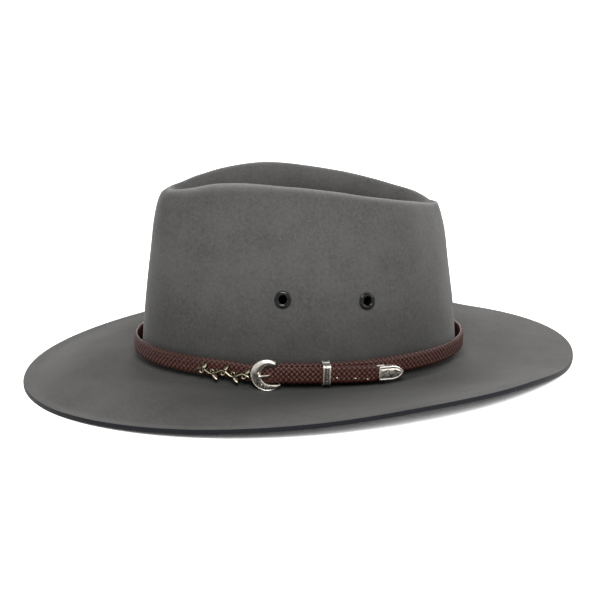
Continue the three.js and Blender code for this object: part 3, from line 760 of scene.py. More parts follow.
@dataclass
class Eyelets:
    """Enamelled air holes in the crown's sides: a rolled flange, a barrel and a clinched ring inside."""

    form: HatForm
    bore: float = 2.6
    barrel: float = 3.4
    flange: float = 5.3
    dome: float = 1.3
    inner_flange: float = 4.9
    inner_dome: float = 1.0
    seat: float = 0.3
    clearance: float = 0.3
    sides: int = 64
    petals: int = 8
    places: tuple[tuple[str, float, float], ...] = (("front", 69, 0.453), ("rear", 99, 0.434))

    def frames(self) -> list[tuple[str, Array, Array]]:
        """Each eyelet's node name, place and axes."""
        found = []
        for side in Side:
            for end, turn, height in self.places:
                place, axes = self.form.wall_frame(math.radians(side.value * turn),
                                                   height * self.form.crown_height)
                found.append((f"eyelet_{side.name.lower()}_{end}", place, axes))
        return found

    def holes(self) -> bpy.types.Object:
        """One object with a rod through each eyelet's place, to cut the felt with."""
        shell = Shell()
        angles = TAU * np.arange(32) / 32
        radius = self.barrel + self.clearance
        reach = 2 * self.form.crown_thickness
        for _, place, axes in self.frames():
            ring = [as_points(radius * np.cos(angles), radius * np.sin(angles), z) for z in (-reach, reach)]
            shell.add_rings(self.form.on_surface(np.stack(ring) @ axes + place))
        return shell.build("eyelet_holes")

    def profile(self) -> Array:
        """The ring's closed section as radius and distance out, from the bore's mouth round the flange."""
        roll = np.radians(np.linspace(0, 205, 18))
        middle, half = (self.bore + self.flange) / 2, (self.flange - self.bore) / 2
        flange = [(middle - half * math.cos(a), self.seat + self.dome * (0.35 + 0.65 * math.sin(a)))
                  for a in roll if a <= math.pi]
        back = -self.form.crown_thickness - self.seat
        rim = [(self.flange, self.seat + 0.1), (self.barrel + 0.2, self.seat), (self.barrel, self.seat - 0.2)]
        inside = [(self.barrel, back + 0.2), (self.barrel + 0.2, back), (self.inner_flange, back),
                  (self.inner_flange, back - 0.35 * self.inner_dome),
                  (mix(self.bore, self.inner_flange, 0.6), back - self.inner_dome),
                  (mix(self.bore, self.inner_flange, 0.2), back - 0.9 * self.inner_dome),
                  (self.bore, back - 0.4 * self.inner_dome)]
        return np.array(flange + rim + inside)

    def build(self) -> list[bpy.types.Object]:
        """Makes and dresses the four eyelets."""
        profile = self.profile()
        angles = TAU * np.arange(self.sides) / self.sides
        inside = ease(-profile[:, 1], self.form.crown_thickness * 0.2, self.form.crown_thickness + 1)
        ripple = -0.28 * inside[:, None] * np.abs(np.sin(angles * self.petals / 2)) ** 0.7
        radius = profile[:, :1] + ripple
        ring = as_points(radius * np.cos(angles), radius * np.sin(angles), profile[:, 1:])
        made = []
        for name, place, axes in self.frames():
            shell = Shell()
            shell.add_rings(np.flip(self.form.on_surface(ring @ axes + place), 0), loop=True)
            made.append(finish(shell.build(f"{name}_ring"), BlackEnamel(), "eyelet", name))
        return made


@dataclass
class FeltBody:
    """Crown and brim, blocked from one piece of wool felt."""

    form: HatForm
    eyelets: Eyelets
    columns: int = 288
    brim_rows: int = 34
    fillet_rows: int = 8
    wall_rows: int = 54
    dent_rows: int = 42
    rim_round: float = 0.6
    # How many rows the ridge's painted highlight spreads over.
    ridge_highlight_rows: float = 2.2
    # Where the painted shade in the fold and the dent reaches, and how dark it is.
    fold_on_brim: float = 0.84
    fold_at_ends: float = 0.42
    fold_up_wall: float = 0.5
    dent_shade: float = 0.78
    wave: float = 0.5
    wave_length: float = 55
    fine_wave: float = 0.4
    fine_wave_length: float = 19
    ridge_soften: int = 3
    ridge_rows: int = 4
    floor_relax: int = 120

    def __post_init__(self) -> None:
        """Works out the turn of each column."""
        self.turn = TAU * np.arange(self.columns) / self.columns

    def upper(self) -> tuple[Array, Array, Array]:
        """The felt's upper face.

        Returns:
            Its points by row and column, how much felt lies straight below each row of the brim (NaN
            elsewhere), and how far each row is into the dent (below 0 outside it).
        """
        form, turn = self.form, self.turn
        rows, below, dent = [], [], []

        def add(points: Array, thick: float = math.nan, inward: float = -1.0) -> None:
            """Keeps one row."""
            rows.append(points)
            below.append(thick)
            dent.append(inward)

        for inward in np.linspace(self.rim_round / form.rest_width - 1, 0, 4):
            add(form.brim(turn, inward), form.brim_thickness)
        for inward in np.linspace(0, 1, self.brim_rows)[1:]:
            rise = float(BRIM.read("rise", inward))
            add(form.brim(turn, inward), mix(form.brim_thickness, form.crown_thickness, rise))
        for share in np.linspace(0, 1, self.fillet_rows)[1:]:
            add(form.on_surface(form.fillet(turn, share)))
        for u in np.linspace(0, 1, self.wall_rows)[1:]:
            add(form.on_surface(form.wall(turn, 1 - (1 - u) ** 1.35)))
        first, last = len(rows) - 1 - self.ridge_rows, len(rows) + self.ridge_rows
        for u in np.linspace(0, 1, self.dent_rows)[1:]:
            add(form.on_surface(form.dent(turn, u**1.3)), inward=u**1.3)
        points = np.stack(rows)
        for _ in range(self.ridge_soften):
            points[first:last] = (0.25 * points[first - 1: last - 1] + 0.5 * points[first:last]
                                  + 0.25 * points[first + 1: last + 1])
        return self.relaxed(points, np.array(dent)), np.array(below), np.array(dent)

    def mirrored(self, row: Array) -> Array:
        """A row of points with its columns taken the other way round."""
        return row[(-np.arange(self.columns)) % self.columns]

    def relaxed(self, points: Array, dent: Array) -> Array:
        """Smooths the dent's floor, where the columns meet along its middle line."""
        share = ease(dent, 0.3, 0.75)[:, None]
        height = points[..., 2].copy()
        for _ in range(self.floor_relax):
            below = np.concatenate([height[1:], self.mirrored(height[-2])[None]])
            above = np.concatenate([height[:1], height[:-1]])
            mean = (below + above + np.roll(height, 1, 1) + np.roll(height, -1, 1)) / 4
            height = mix(height, mean, share)
            height[-1] = (height[-1] + self.mirrored(height[-1])) / 2
        points[..., 2] = height
        return points

    def normals(self, points: Array) -> Array:
        """Directions out of the felt at each point."""
        last = self.mirrored(points[-2])[None]
        first = (2 * points[0] - points[1])[None]
        padded = np.concatenate([first, points, last])
        inward = padded[2:] - padded[:-2]
        along = np.roll(points, -1, 1) - np.roll(points, 1, 1)
        facing = normalised(np.cross(along, inward))
        facing[-1] = normalised(facing[-1] + self.mirrored(facing[-1]) + facing[-2])
        return facing

    def waved(self, points: Array, facing: Array, below: Array, dent: Array) -> Array:
        """Points moved a little in and out, as hand-shaped felt is."""
        height = (points[..., 2] - self.form.foot_height) / self.form.crown_height
        crown = ease(height, 0.22, 0.5) * (1 - 0.4 * ease(dent, 0, 0.3))[:, None]
        across = np.linspace(0, 1, int(np.sum(~np.isnan(below))))
        brim = np.zeros(len(below))
        brim[: len(across)] = 0.7 * np.sin(math.pi * across) ** 1.5
        amount = self.wave * np.maximum(crown, brim[:, None])
        swell = np.array([noise.noise(Vector(p) / self.wave_length)
                          + self.fine_wave * noise.noise(Vector(p) / self.fine_wave_length)
                          for p in points.reshape(-1, 3)]).reshape(points.shape[:2])
        swell[-1] = (swell[-1] + self.mirrored(swell[-1])) / 2
        return points + facing * (amount * swell)[..., None]

    def build(self) -> bpy.types.Object:
        """Makes and dresses the felt."""
        points, below, dent = self.upper()
        points = self.waved(points, self.normals(points), below, dent)
        lower = points - self.form.crown_thickness * self.normals(points)
        brim = ~np.isnan(below)
        lower[brim] = points[brim] - as_points(0, 0, below[brim])[:, None]
        rim = self.rim(points[0], lower[0])
        sheets = np.concatenate([lower[::-1], rim, points])
        felt = mesh_object("felt_hat", sheets, self.faces(len(sheets)))
        # The rows round the cut edge carry its painted shade.
        edge = np.zeros(len(sheets))
        edge[len(lower): len(lower) + len(rim)] = 1
        # The painted highlight is strongest at the ridge row and fades over a few rows either side.
        ridge_row = len(lower) + len(rim) + int(np.argmax(dent >= 0)) - 1
        away = np.abs(np.arange(len(sheets)) - ridge_row)
        ridge = np.exp(-((away / self.ridge_highlight_rows) ** 2))
        # Painted shade on the upper face, in the fold and the dent.
        fold = np.zeros((len(sheets), self.columns))
        fold[len(lower) + len(rim):] = self.fold_shade(below, dent)
        for name, rows in (("felt_edge_shade", edge), ("felt_ridge_highlight", ridge), ("felt_painted_shade", fold)):
            values = np.broadcast_to(rows.reshape(len(sheets), -1), (len(sheets), self.columns)).ravel()
            felt.data.attributes.new(name, "FLOAT", "POINT").data.foreach_set("value", values)
        cut_away(felt, self.eyelets.holes())
        return finish(felt, WoolFelt(), "felt", "felt_body")

    def fold_shade(self, below: Array, dent: Array) -> Array:
        """The painted shade on the upper face, in and near the fold between brim and crown, and inside the
        dent.

        Args:
            below: How much felt lies below each row of the brim, NaN elsewhere.
            dent: How far each row is into the dent, below 0 outside it.

        Returns:
            Shares by row and column, deepest at the hat's sides.
        """
        around = mix(self.fold_at_ends, 1, ease(np.abs(np.sin(self.turn)), 0.5, 1))
        brim, wall = int(np.sum(~np.isnan(below))), int(np.sum(dent < 0))
        on_brim = ease(np.arange(brim), 0, brim * self.fold_on_brim)
        rise = np.arange(wall - brim) / (wall - brim)
        up_wall = 0.39 * (1 - ease(rise, 0.12, self.fold_up_wall)) + 0.47 * (1 - ease(rise, 0.08, 0.2))
        even = mix(around, 1, ease(rise, 0, 0.12)[:, None])
        in_dent = self.dent_shade * ease(dent[wall:], 0.08, 0.4)
        return np.concatenate([on_brim[:, None] * around, up_wall[:, None] * even,
                               np.repeat(in_dent[:, None], self.columns, 1)])

    def rim(self, top: Array, bottom: Array) -> Array:
        """Rows round the brim's cut edge, from its lower face to its upper one."""
        out = normalised(self.form.oval(self.turn, self.form.brim_width, 0))
        rows = []
        for angle in np.radians(np.linspace(-90, 90, 9)[1:-1]):
            share = (1 + math.copysign(abs(math.sin(angle)) ** 0.7, angle)) / 2
            rows.append(mix(bottom, top, share) + self.rim_round * math.cos(angle) ** 0.7 * out)
        return np.stack(rows)

    def faces(self, rows: int) -> list[tuple[int, ...]]:
        """Faces through all rows, with each sheet's last row joined to itself along the dent's floor."""
        columns = self.columns

        def at(i: int, c: int) -> int:
            """A point's number; the first and the last row hold each point of the floor's line twice."""
            c %= columns
            if i in (0, rows - 1) and c > columns // 2:
                c = columns - c
            return i * columns + c

        return [(at(i, c), at(i, c + 1), at(i + 1, c + 1), at(i + 1, c))
                for i in range(rows - 1) for c in range(columns)]


@dataclass
class StrapPath:
    """Where the strap runs: once round the crown and on over its own start."""

    form: HatForm
    height: float = 11
    thickness: float = 3.2
    level: float = 10.7
    slack: float = 0.8
    ramp: float = 30
    tail_drop: float = 1.2
    tail_sag: float = 2.4
    tail: float = 70.7
    clearance: float = 0.3
    buckle_turn: float = 64
    bar_place: float = 4.2
    bar_radius: float = 0.8
    prong_eye_wall: float = 0.6
    keeper_place: float = 36.6
    keeper_width: float = 4.9
    keeper_wall: float = 0.7
    tip_length: float = 17.8
    tip_plate: float = 0.9
    tip_socket: float = 5

    def __post_init__(self) -> None:
        """Works out the turns, in degrees, where the run starts, climbs and ends."""
        self.standoff = 2 * self.clearance + self.keeper_wall + self.thickness / 2
        self.layer = self.thickness + self.clearance
        self.front = self.thickness / 2 + self.clearance
        self.buckle = self.buckle_turn + 360
        self.prong_eye = self.bar_radius + self.clearance + self.prong_eye_wall
        self.start = self.walk(self.lower, self.buckle_turn, self.bar_place + self.prong_eye + self.clearance)
        self.ramp_start = self.walk(self.lower, self.buckle, -self.ramp)
        self.ramp_end = self.walk(self.lower, self.buckle, -self.bar_radius)
        self.tip_end = self.walk(self.lower, self.buckle, self.tail + self.tip_length)
        self.stand_start = self.walk(self.lower, self.buckle, self.keeper_place + self.keeper_width)
        self.stand_end = self.walk(self.lower, self.buckle, self.tail - self.tip_socket)
        self.end = self.turn_at(self.tail + self.tip_socket - self.clearance)

    @staticmethod
    def walk(path: Callable[[Array], Array], start: float, distance: float) -> float:
        """The turn at a distance along a path from another turn."""
        turns = start + math.copysign(1, distance) * np.arange(0, 420, 0.25)
        steps = np.linalg.norm(np.diff(path(turns), axis=0), axis=1)
        return float(np.interp(abs(distance), np.concatenate([[0], np.cumsum(steps)]), turns))

    def lower(self, turn: Array) -> Array:
        """The middle of the strap where it lies on the crown."""
        return self.form.oval(np.radians(turn), self.standoff, 0)

    def middle(self, turn: Array) -> Array:
        """The middle of the strap at turns of its run, in the crown's frame."""
        climbed = ease(turn, self.ramp_start, self.ramp_end)
        past = np.maximum(turn - self.buckle, 0) / (self.tip_end - self.buckle)
        slack = self.slack * np.cos(np.radians(turn)) ** 2
        stand = (self.tip_plate + self.clearance) * ease(turn, self.stand_start, self.stand_end)
        out = self.standoff + slack + self.layer * climbed + stand
        up = self.level - self.tail_drop * climbed - self.tail_sag * past**2
        return self.form.oval(np.radians(turn), out, up)

    def axes(self, turn: Array) -> Array:
        """The directions along, up and out of the strap at turns of its run, stacked before the last axis."""
        turn = np.asarray(turn, float)
        along = normalised(self.middle(turn + 0.1) - self.middle(turn - 0.1))
        out = normalised(np.cross(along, (0, 0, 1)))
        return np.stack([along, np.cross(out, along), out], axis=-2)

    def turn_at(self, distance: float) -> float:
        """The turn at a distance along the upper layer from the buckle's middle."""
        return self.walk(self.middle, self.buckle, distance)

    def placed(self, turn: float) -> Callable[[Array], Array]:
        """A function that moves points (along, up, out) to the strap at one turn."""
        middle, axes = self.middle(np.array(turn)), self.axes(turn)
        return lambda points: self.form.on_surface(points @ axes + middle)

    def bent(self, points: Array) -> Array:
        """Points (along from the buckle's middle, up, out) bent along the strap."""
        span = np.arange(math.floor(points[:, 0].min()) - 1, math.ceil(points[:, 0].max()) + 2, 1.0)
        turn = np.interp(points[:, 0], span, [self.turn_at(s) if s else self.buckle for s in span])
        local = np.stack([np.zeros(len(points)), points[:, 1], points[:, 2]], axis=-1)
        return self.form.on_surface(self.middle(turn) + np.einsum("ni,nij->nj", local, self.axes(turn)))


@dataclass
class PlaitedBand:
    """The leather strap: twelve strands plaited round a core, each over one and under one."""

    path: StrapPath
    tip_height: float = 9.4
    strands: int = 6
    advance: float = 19.8
    strand_width: float = 2.5
    strand_thickness: float = 0.8
    weave: float = 0.3
    steps: int = 4
    round: tuple[tuple[float, float], ...] = (
        (-1, -0.5), (-0.86, 0.2), (-0.5, 0.78), (0, 1), (0.5, 0.78), (0.86, 0.2), (1, -0.5))
    squareness: float = 0.62
    hole_place: float = 1.2
    hole_spread: float = 1.15
    squeeze_run: float = 2.5

    def outline(self, inset: float) -> tuple[Array, Array]:
        """The strap's section.

        Args:
            inset: How far inside the full section it lies.

        Returns:
            Its points (up, out) at even distances, and the directions out of them.
        """
        angle = np.linspace(0, TAU, 721)
        points = np.stack([np.sin(angle), np.cos(angle)], axis=-1)
        points = np.sign(points) * np.abs(points) ** self.squareness
        points = points * (self.path.height / 2 - inset, self.path.thickness / 2 - inset)
        run = np.concatenate([[0], np.cumsum(np.linalg.norm(np.diff(points, axis=0), axis=1))])
        even = np.linspace(0, run[-1], 361)[:-1]
        points = np.stack([np.interp(even, run, points[:, k]) for k in (0, 1)], axis=-1)
        tangent = normalised(np.roll(points, -4, 0) - np.roll(points, 4, 0))
        return points, np.stack([tangent[:, 1], -tangent[:, 0]], axis=-1) * -1

    def around(self, table: Array, share: Array) -> Array:
        """Values of a closed table at shares of its round."""
        at = (share % 1) * len(table)
        low = at.astype(int) % len(table)
        return mix(table[low], table[(low + 1) % len(table)], (at - np.floor(at))[:, None])

    def strand(self, lay: Lay, number: int, length: float) -> tuple[Array, Array]:
        """One strand.

        Args:
            lay: The way that it winds.
            number: Its number among those of its lay.
            length: The strap's length.

        Returns:
            Its rings as (distance, up, out), and how high each point lies in the plait.
        """
        crossing = self.advance / (2 * self.strands)
        along = np.linspace(0, length, int(length / crossing * self.steps))
        pair = along / crossing
        share = number / self.strands + lay.value * pair / (2 * self.strands)
        over = lay.value * np.cos(math.pi * pair)
        inset = self.weave + self.strand_thickness / 2
        points, facing = self.outline(inset)
        place, face = self.around(points, share), normalised(self.around(facing, share))
        middle = np.column_stack([along, place + face * (over * self.weave)[:, None]])
        out = np.column_stack([np.zeros(len(along)), face])
        across = normalised(np.cross(out, normalised(np.gradient(middle, axis=0))))
        section = np.array(self.round)
        half = np.array([self.strand_width / 2, self.strand_thickness / 2])
        rings = (middle[:, None] + across[:, None] * (section[:, 0] * half[0])[None, :, None]
                 + out[:, None] * (section[:, 1] * half[1])[None, :, None])
        # How high each point lies, lower at the strand's sides too; the leather paints its shade and
        # highlight by this.
        lie = (0.5 + 0.36 * over[:, None] + 0.14 * section[:, 1][None]
               - 0.22 * np.abs(section[:, 0])[None] ** 4)
        return rings, lie

    def spread(self, points: Array, centre: float) -> Array:
        """Points pushed aside, along and up, by the prong that goes through the strap."""
        offset = np.stack([points[..., 0] - centre, points[..., 1]], axis=-1)
        distance = np.linalg.norm(offset, axis=-1, keepdims=True)
        pushed = (distance**3 + self.hole_spread**3) ** (1 / 3)
        moved = points.copy()
        moved[..., :2] = as_points(centre, 0, 0)[:2] + offset / np.maximum(distance, 1e-6) * pushed
        return moved

    def build(self) -> list[bpy.types.Object]:
        """Makes and dresses the strands of each lay, and the core beneath them."""
        path = self.path
        turns = np.linspace(path.start, path.end, 4000)
        middles = path.middle(turns)
        run = np.concatenate([[0], np.cumsum(np.linalg.norm(np.diff(middles, axis=0), axis=1))])
        hole = float(np.interp(path.buckle, turns, run)) + self.hole_place
        mouth = float(np.interp(path.turn_at(path.tail), turns, run))

        def placed(points: Array) -> Array:
            """Moves points (distance, up, out) onto the strap's run."""
            flat = self.spread(points, hole).reshape(-1, 3)
            narrow = (self.tip_height - 2 * path.clearance) / path.height
            squeeze = mix(1, narrow, ease(flat[:, 0], mouth - self.squeeze_run, mouth))
            flat[:, 1] *= squeeze
            at = np.interp(flat[:, 0], run, turns)
            local = np.column_stack([flat[:, 0] - np.interp(at, turns, run), flat[:, 1:]])
            return path.form.on_surface(path.middle(at) + np.einsum("ni,nij->nj", local, path.axes(at)))

        made = []
        for lay in Lay:
            shell, lies = Shell(), []
            for number in range(self.strands):
                rings, lie = self.strand(lay, number, run[-1])
                shell.add_rings(placed(rings).reshape(rings.shape))
                lies.append(lie.ravel())
            if lay is Lay.FORWARD:
                core, _ = self.outline(2 * self.weave + self.strand_thickness)
                stations = np.linspace(0.4, run[-1] - 0.4, 260)
                rings = np.stack([np.column_stack([np.full(24, s), core[::15]]) for s in stations])
                shell.add_rings(placed(rings).reshape(rings.shape))
                lies.append(np.zeros(rings.shape[0] * rings.shape[1]))
            strands = shell.build(f"plait_{lay.name.lower()}")
            lie_of = strands.data.attributes.new("plait_lie", "FLOAT", "POINT")
            lie_of.data.foreach_set("value", np.concatenate(lies))
            made.append(finish(strands, PlaitedLeather(), "leather", "plaited_band"))
        return made


@dataclass
class Buckle:
    """An engraved crescent with a bar beneath the strap, and the prong that lies in it."""

    path: StrapPath
    radius: float = 10.2
    depth: float = 2.6
    raised: float = 0.5
    lean: float = 8
    upper_horn: float = 8.8
    lower_horn: float = 8.3
    prong_radius: float = 0.75
    prong_ball: float = 1.1
    prong_hole: float = 1.2
    steps: int = 150
    end_round: float = 5.0
    engraved_from: float = 182
    engraved_depth: float = 0.5
    scrolls: int = 6
    scrolls_to: float = 290
    scroll_radius: float = 0.24
    leaf_radius: float = 0.3
    beads_to: float = 308
    bead_step: float = 4.6
    bead_radius: float = 0.2
    bead_across: float = 0.76

    def leaning(self, points: Array) -> Array:
        """Points of the flat crescent, leant and set on the strap's face."""
        lean = math.radians(self.lean)
        y = points[..., 1] * math.cos(lean) - points[..., 2] * math.sin(lean)
        z = points[..., 1] * math.sin(lean) + points[..., 2] * math.cos(lean)
        return as_points(points[..., 0], y + self.raised, z + self.path.front)

    def half(self, turn: Array) -> Array:
        """Half the crescent's width at a turn in degrees, rounded off at its blunt end."""
        start = CRESCENT.column("turn")[0]
        near = np.clip((turn - start) / self.end_round, 0, 1)
        return CRESCENT.read("width", turn) * self.radius / 2 * np.sqrt(1 - (1 - near) ** 2 * 0.96)

    def face(self, turn: Array, across: Array) -> Array:
        """A point of the crescent's front: a polished ridge above, a rim round a sunk field below."""
        half = self.half(turn)
        middle = self.radius - CRESCENT.read("width", turn) * self.radius / 2
        side = np.abs(across)
        lower = ease(turn, self.engraved_from - 14, self.engraved_from + 6)
        wide = ease(half, 0.9, 2.2) * lower
        dome = mix(1 - side**1.6, np.sqrt(np.maximum(1 - side**2.6, 0)), lower)
        height = self.depth * (0.5 + 0.42 * dome)
        height = height - self.engraved_depth * wide * ease(side, 0.86, 0.7)
        height = height + 0.12 * wide * ease(side, 0.6, 0.9)
        radius = middle - across * half
        angle = np.radians(turn)
        return as_points(radius * np.cos(angle), radius * np.sin(angle), height)

    def crescent(self, shell: Shell) -> None:
        """Adds the crescent."""
        turns = CRESCENT.column("turn")
        turn = np.linspace(turns[0], turns[-1], self.steps)
        steps = np.array([0.25, 0.5, 0.66, 0.74, 0.8, 0.86, 0.92, 0.97, 1])
        across = np.concatenate([-steps[::-1], [0], steps])
        front = self.face(turn[:, None], across[None])
        back = front[:, [-1, 0]].copy()
        back[..., 2] = 0
        shell.add_rings(self.leaning(np.concatenate([front, back], axis=1)[:, ::-1]))

    def relief(self, shell: Shell) -> None:
        """Adds raised scrolls and leaves along the field, and a row of beads at each rim."""
        share = np.linspace(0, 1, 30)
        reach = 0.52 * (1 - 0.8 * share)
        angle = np.radians(-60 + 430 * share)
        for i, turn in enumerate(np.linspace(self.engraved_from + 10, self.scrolls_to, self.scrolls)):
            side = 1 if i % 2 else -1
            path = self.face(turn + side * 13 * reach * np.cos(angle), side * 0.95 * reach * np.sin(angle))
            shell.add_wire(self.leaning(path), self.scroll_radius * (1 - 0.45 * share))
            leaf_turn = np.linspace(turn + 6, turn + 15, 10)
            leaf = self.face(leaf_turn, side * np.linspace(0.1, -0.5, 10))
            shell.add_bud(self.leaning(leaf), self.leaf_radius, 0.25)
        for turn in np.arange(self.engraved_from, self.beads_to, self.bead_step):
            for side in (-1, 1):
                if self.half(turn) > 1.5:
                    place = self.face(np.array(turn), np.array(side * self.bead_across))
                    shell.add_ball(self.leaning(place), self.bead_radius, 1, 8)

    def build(self) -> list[bpy.types.Object]:
        """Makes and dresses the buckle and its prong."""
        path = self.path
        shell = Shell()
        self.crescent(shell)
        self.relief(shell)
        horns = [self.leaning(as_points(path.bar_place, side * math.sqrt(reach**2 - path.bar_place**2),
                                        self.depth / 3))
                 for side, reach in ((1, self.upper_horn), (-1, self.lower_horn))]
        for horn in horns:
            foot = horn.copy()
            foot[2] = -path.layer - path.bar_radius
            shell.add_tube(np.linspace(foot, horn, 6), (1, 0, 0), path.bar_radius, 16)
        ends = [as_points(*horn[:2], -path.layer) for horn in horns]
        shell.add_tube(np.linspace(*ends, 8), (1, 0, 0), path.bar_radius, 16)
        placed = path.placed(path.buckle)
        return [finish(piece.build(name, placed), ANTIQUE_SILVER, "silver", node) for piece, name, node in (
            (shell, "crescent_buckle", "buckle_frame"), (self.prong(), "prong", "buckle_prong"))]

    def prong(self) -> Shell:
        """The prong: an eye round the bar, a rod out through the strap and a ball on the crescent."""
        path = self.path
        bore = path.bar_radius + path.clearance
        shell = Shell()
        angles = TAU * np.arange(40) / 40
        section = TAU * np.arange(14) / 14
        ring = (bore + path.prong_eye) / 2
        wall = path.prong_eye_wall / 2
        radius = ring + wall * np.cos(section)
        eye = as_points(path.bar_place + np.outer(np.cos(angles), radius),
                        np.broadcast_to(self.prong_radius * np.sin(section), (40, 14)),
                        -path.layer - np.outer(np.sin(angles), radius))
        shell.add_rings(eye, loop=True)
        widest = CRESCENT.column("width").max() * self.radius
        ball = np.array([widest - self.radius - self.prong_ball / 2, 0,
                         path.front + self.depth + self.prong_ball / 2])
        knots = np.array([(path.bar_place - ring, 0, -path.layer),
                          (self.prong_hole + self.prong_radius, 0, -self.prong_radius),
                          (self.prong_hole - 1.5 * self.prong_radius, 0, path.front + self.prong_radius),
                          ball])
        share = np.linspace(0, 3, 40)
        low = np.clip(share.astype(int), 0, 2)
        line = np.array([self.spline(knots, i, s - i) for i, s in zip(low, share)])
        shell.add_tube(line, (0, 1, 0), self.prong_radius * mix(1.0, 0.82, share / 3), 20)
        shell.add_ball(ball, self.prong_ball, 1, 28)
        return shell

    @staticmethod
    def spline(knots: Array, i: int, t: float) -> Array:
        """A point of a smooth curve through knots, between number i and the next."""
        before, a, b, after = (knots[np.clip(i + k, 0, len(knots) - 1)] for k in (-1, 0, 1, 2))
        return 0.5 * (2 * a + (b - before) * t + (2 * before - 5 * a + 4 * b - after) * t**2
                      + (3 * a - before - 3 * b + after) * t**3)


@dataclass
class Keeper:
    """The metal loop round both layers of the strap, with raised borders and a zigzag between them."""

    path: StrapPath
    corner: float = 0.9
    border: float = 0.15
    bead: float = 0.16
    peaks: int = 6
    line_radius: float = 0.3

    def outline(self, drop: float) -> Array:
        """The opening's outline as (out, up), stepped as the two layers are, with softened corners."""
        path = self.path
        out, up, corner = path.front, path.height / 2 + path.clearance, self.corner
        back = -out - path.layer
        step = out - path.layer
        points = np.array([
            (out - corner, -up), (out, corner - up), (out, up - corner), (out - corner, up),
            (step, up + drop - corner), (step - corner, up + drop), (back + corner, up + drop),
            (back, up + drop - corner), (back, drop - up + corner), (back + corner, drop - up),
            (-out, corner - up), (corner - out, -up)])
        for _ in range(3):
            after = np.roll(points, -1, 0)
            points = np.stack([mix(points, after, 0.22), mix(points, after, 0.78)], axis=1).reshape(-1, 2)
        return points

    def build(self) -> bpy.types.Object:
        """Makes and dresses the loop."""
        path = self.path
        turn = path.turn_at(path.keeper_place)
        drop = path.level - float(path.middle(np.array(turn))[2])
        outline = self.outline(drop)
        tangent = normalised(np.roll(outline, -1, 0) - np.roll(outline, 1, 0))
        away = np.stack([tangent[:, 1], -tangent[:, 0]], axis=-1)
        half, wall = path.keeper_width / 2, path.keeper_wall
        edge = np.array([
            (half, 0), (half, wall * 0.8), (half - 0.12, wall + 0.12), (half - 0.42, wall + self.bead),
            (half - 0.7, wall), (half - 0.82, wall - self.border)])
        section = np.concatenate([edge * (-1, 1), [(0, wall - self.border)], edge[::-1]])
        ring = outline[:, None] + away[:, None] * section[:, 1][None, :, None]
        shell = Shell()
        shell.add_rings(as_points(section[:, 0][None], ring[..., 1], ring[..., 0]), loop=True)
        self.zigzag(shell, path.front + wall - self.border, half - 0.95)
        return finish(shell.build("strap_keeper", path.placed(turn)), ANTIQUE_SILVER, "silver", "keeper_loop")

    def zigzag(self, shell: Shell, level: float, half: float) -> None:
        """Adds two crossing zigzags and a bead in every other diamond, on the front face."""
        reach = self.path.height / 2 - self.corner
        share = np.linspace(0, 1, self.peaks * 6 + 1)
        wave = 2 * np.abs((share * self.peaks / 2) % 1 - 0.5) * 2 - 1
        for side in (1, -1):
            line = as_points(side * half * 0.92 * wave, mix(-reach, reach, share), level)
            shell.add_wire(line, self.line_radius)
        for i in range(0, self.peaks, 2):
            centre = as_points(0, mix(-reach, reach, (i + 0.5) / self.peaks), level)
            shell.add_ball(centre, self.line_radius, 0.8, 10)


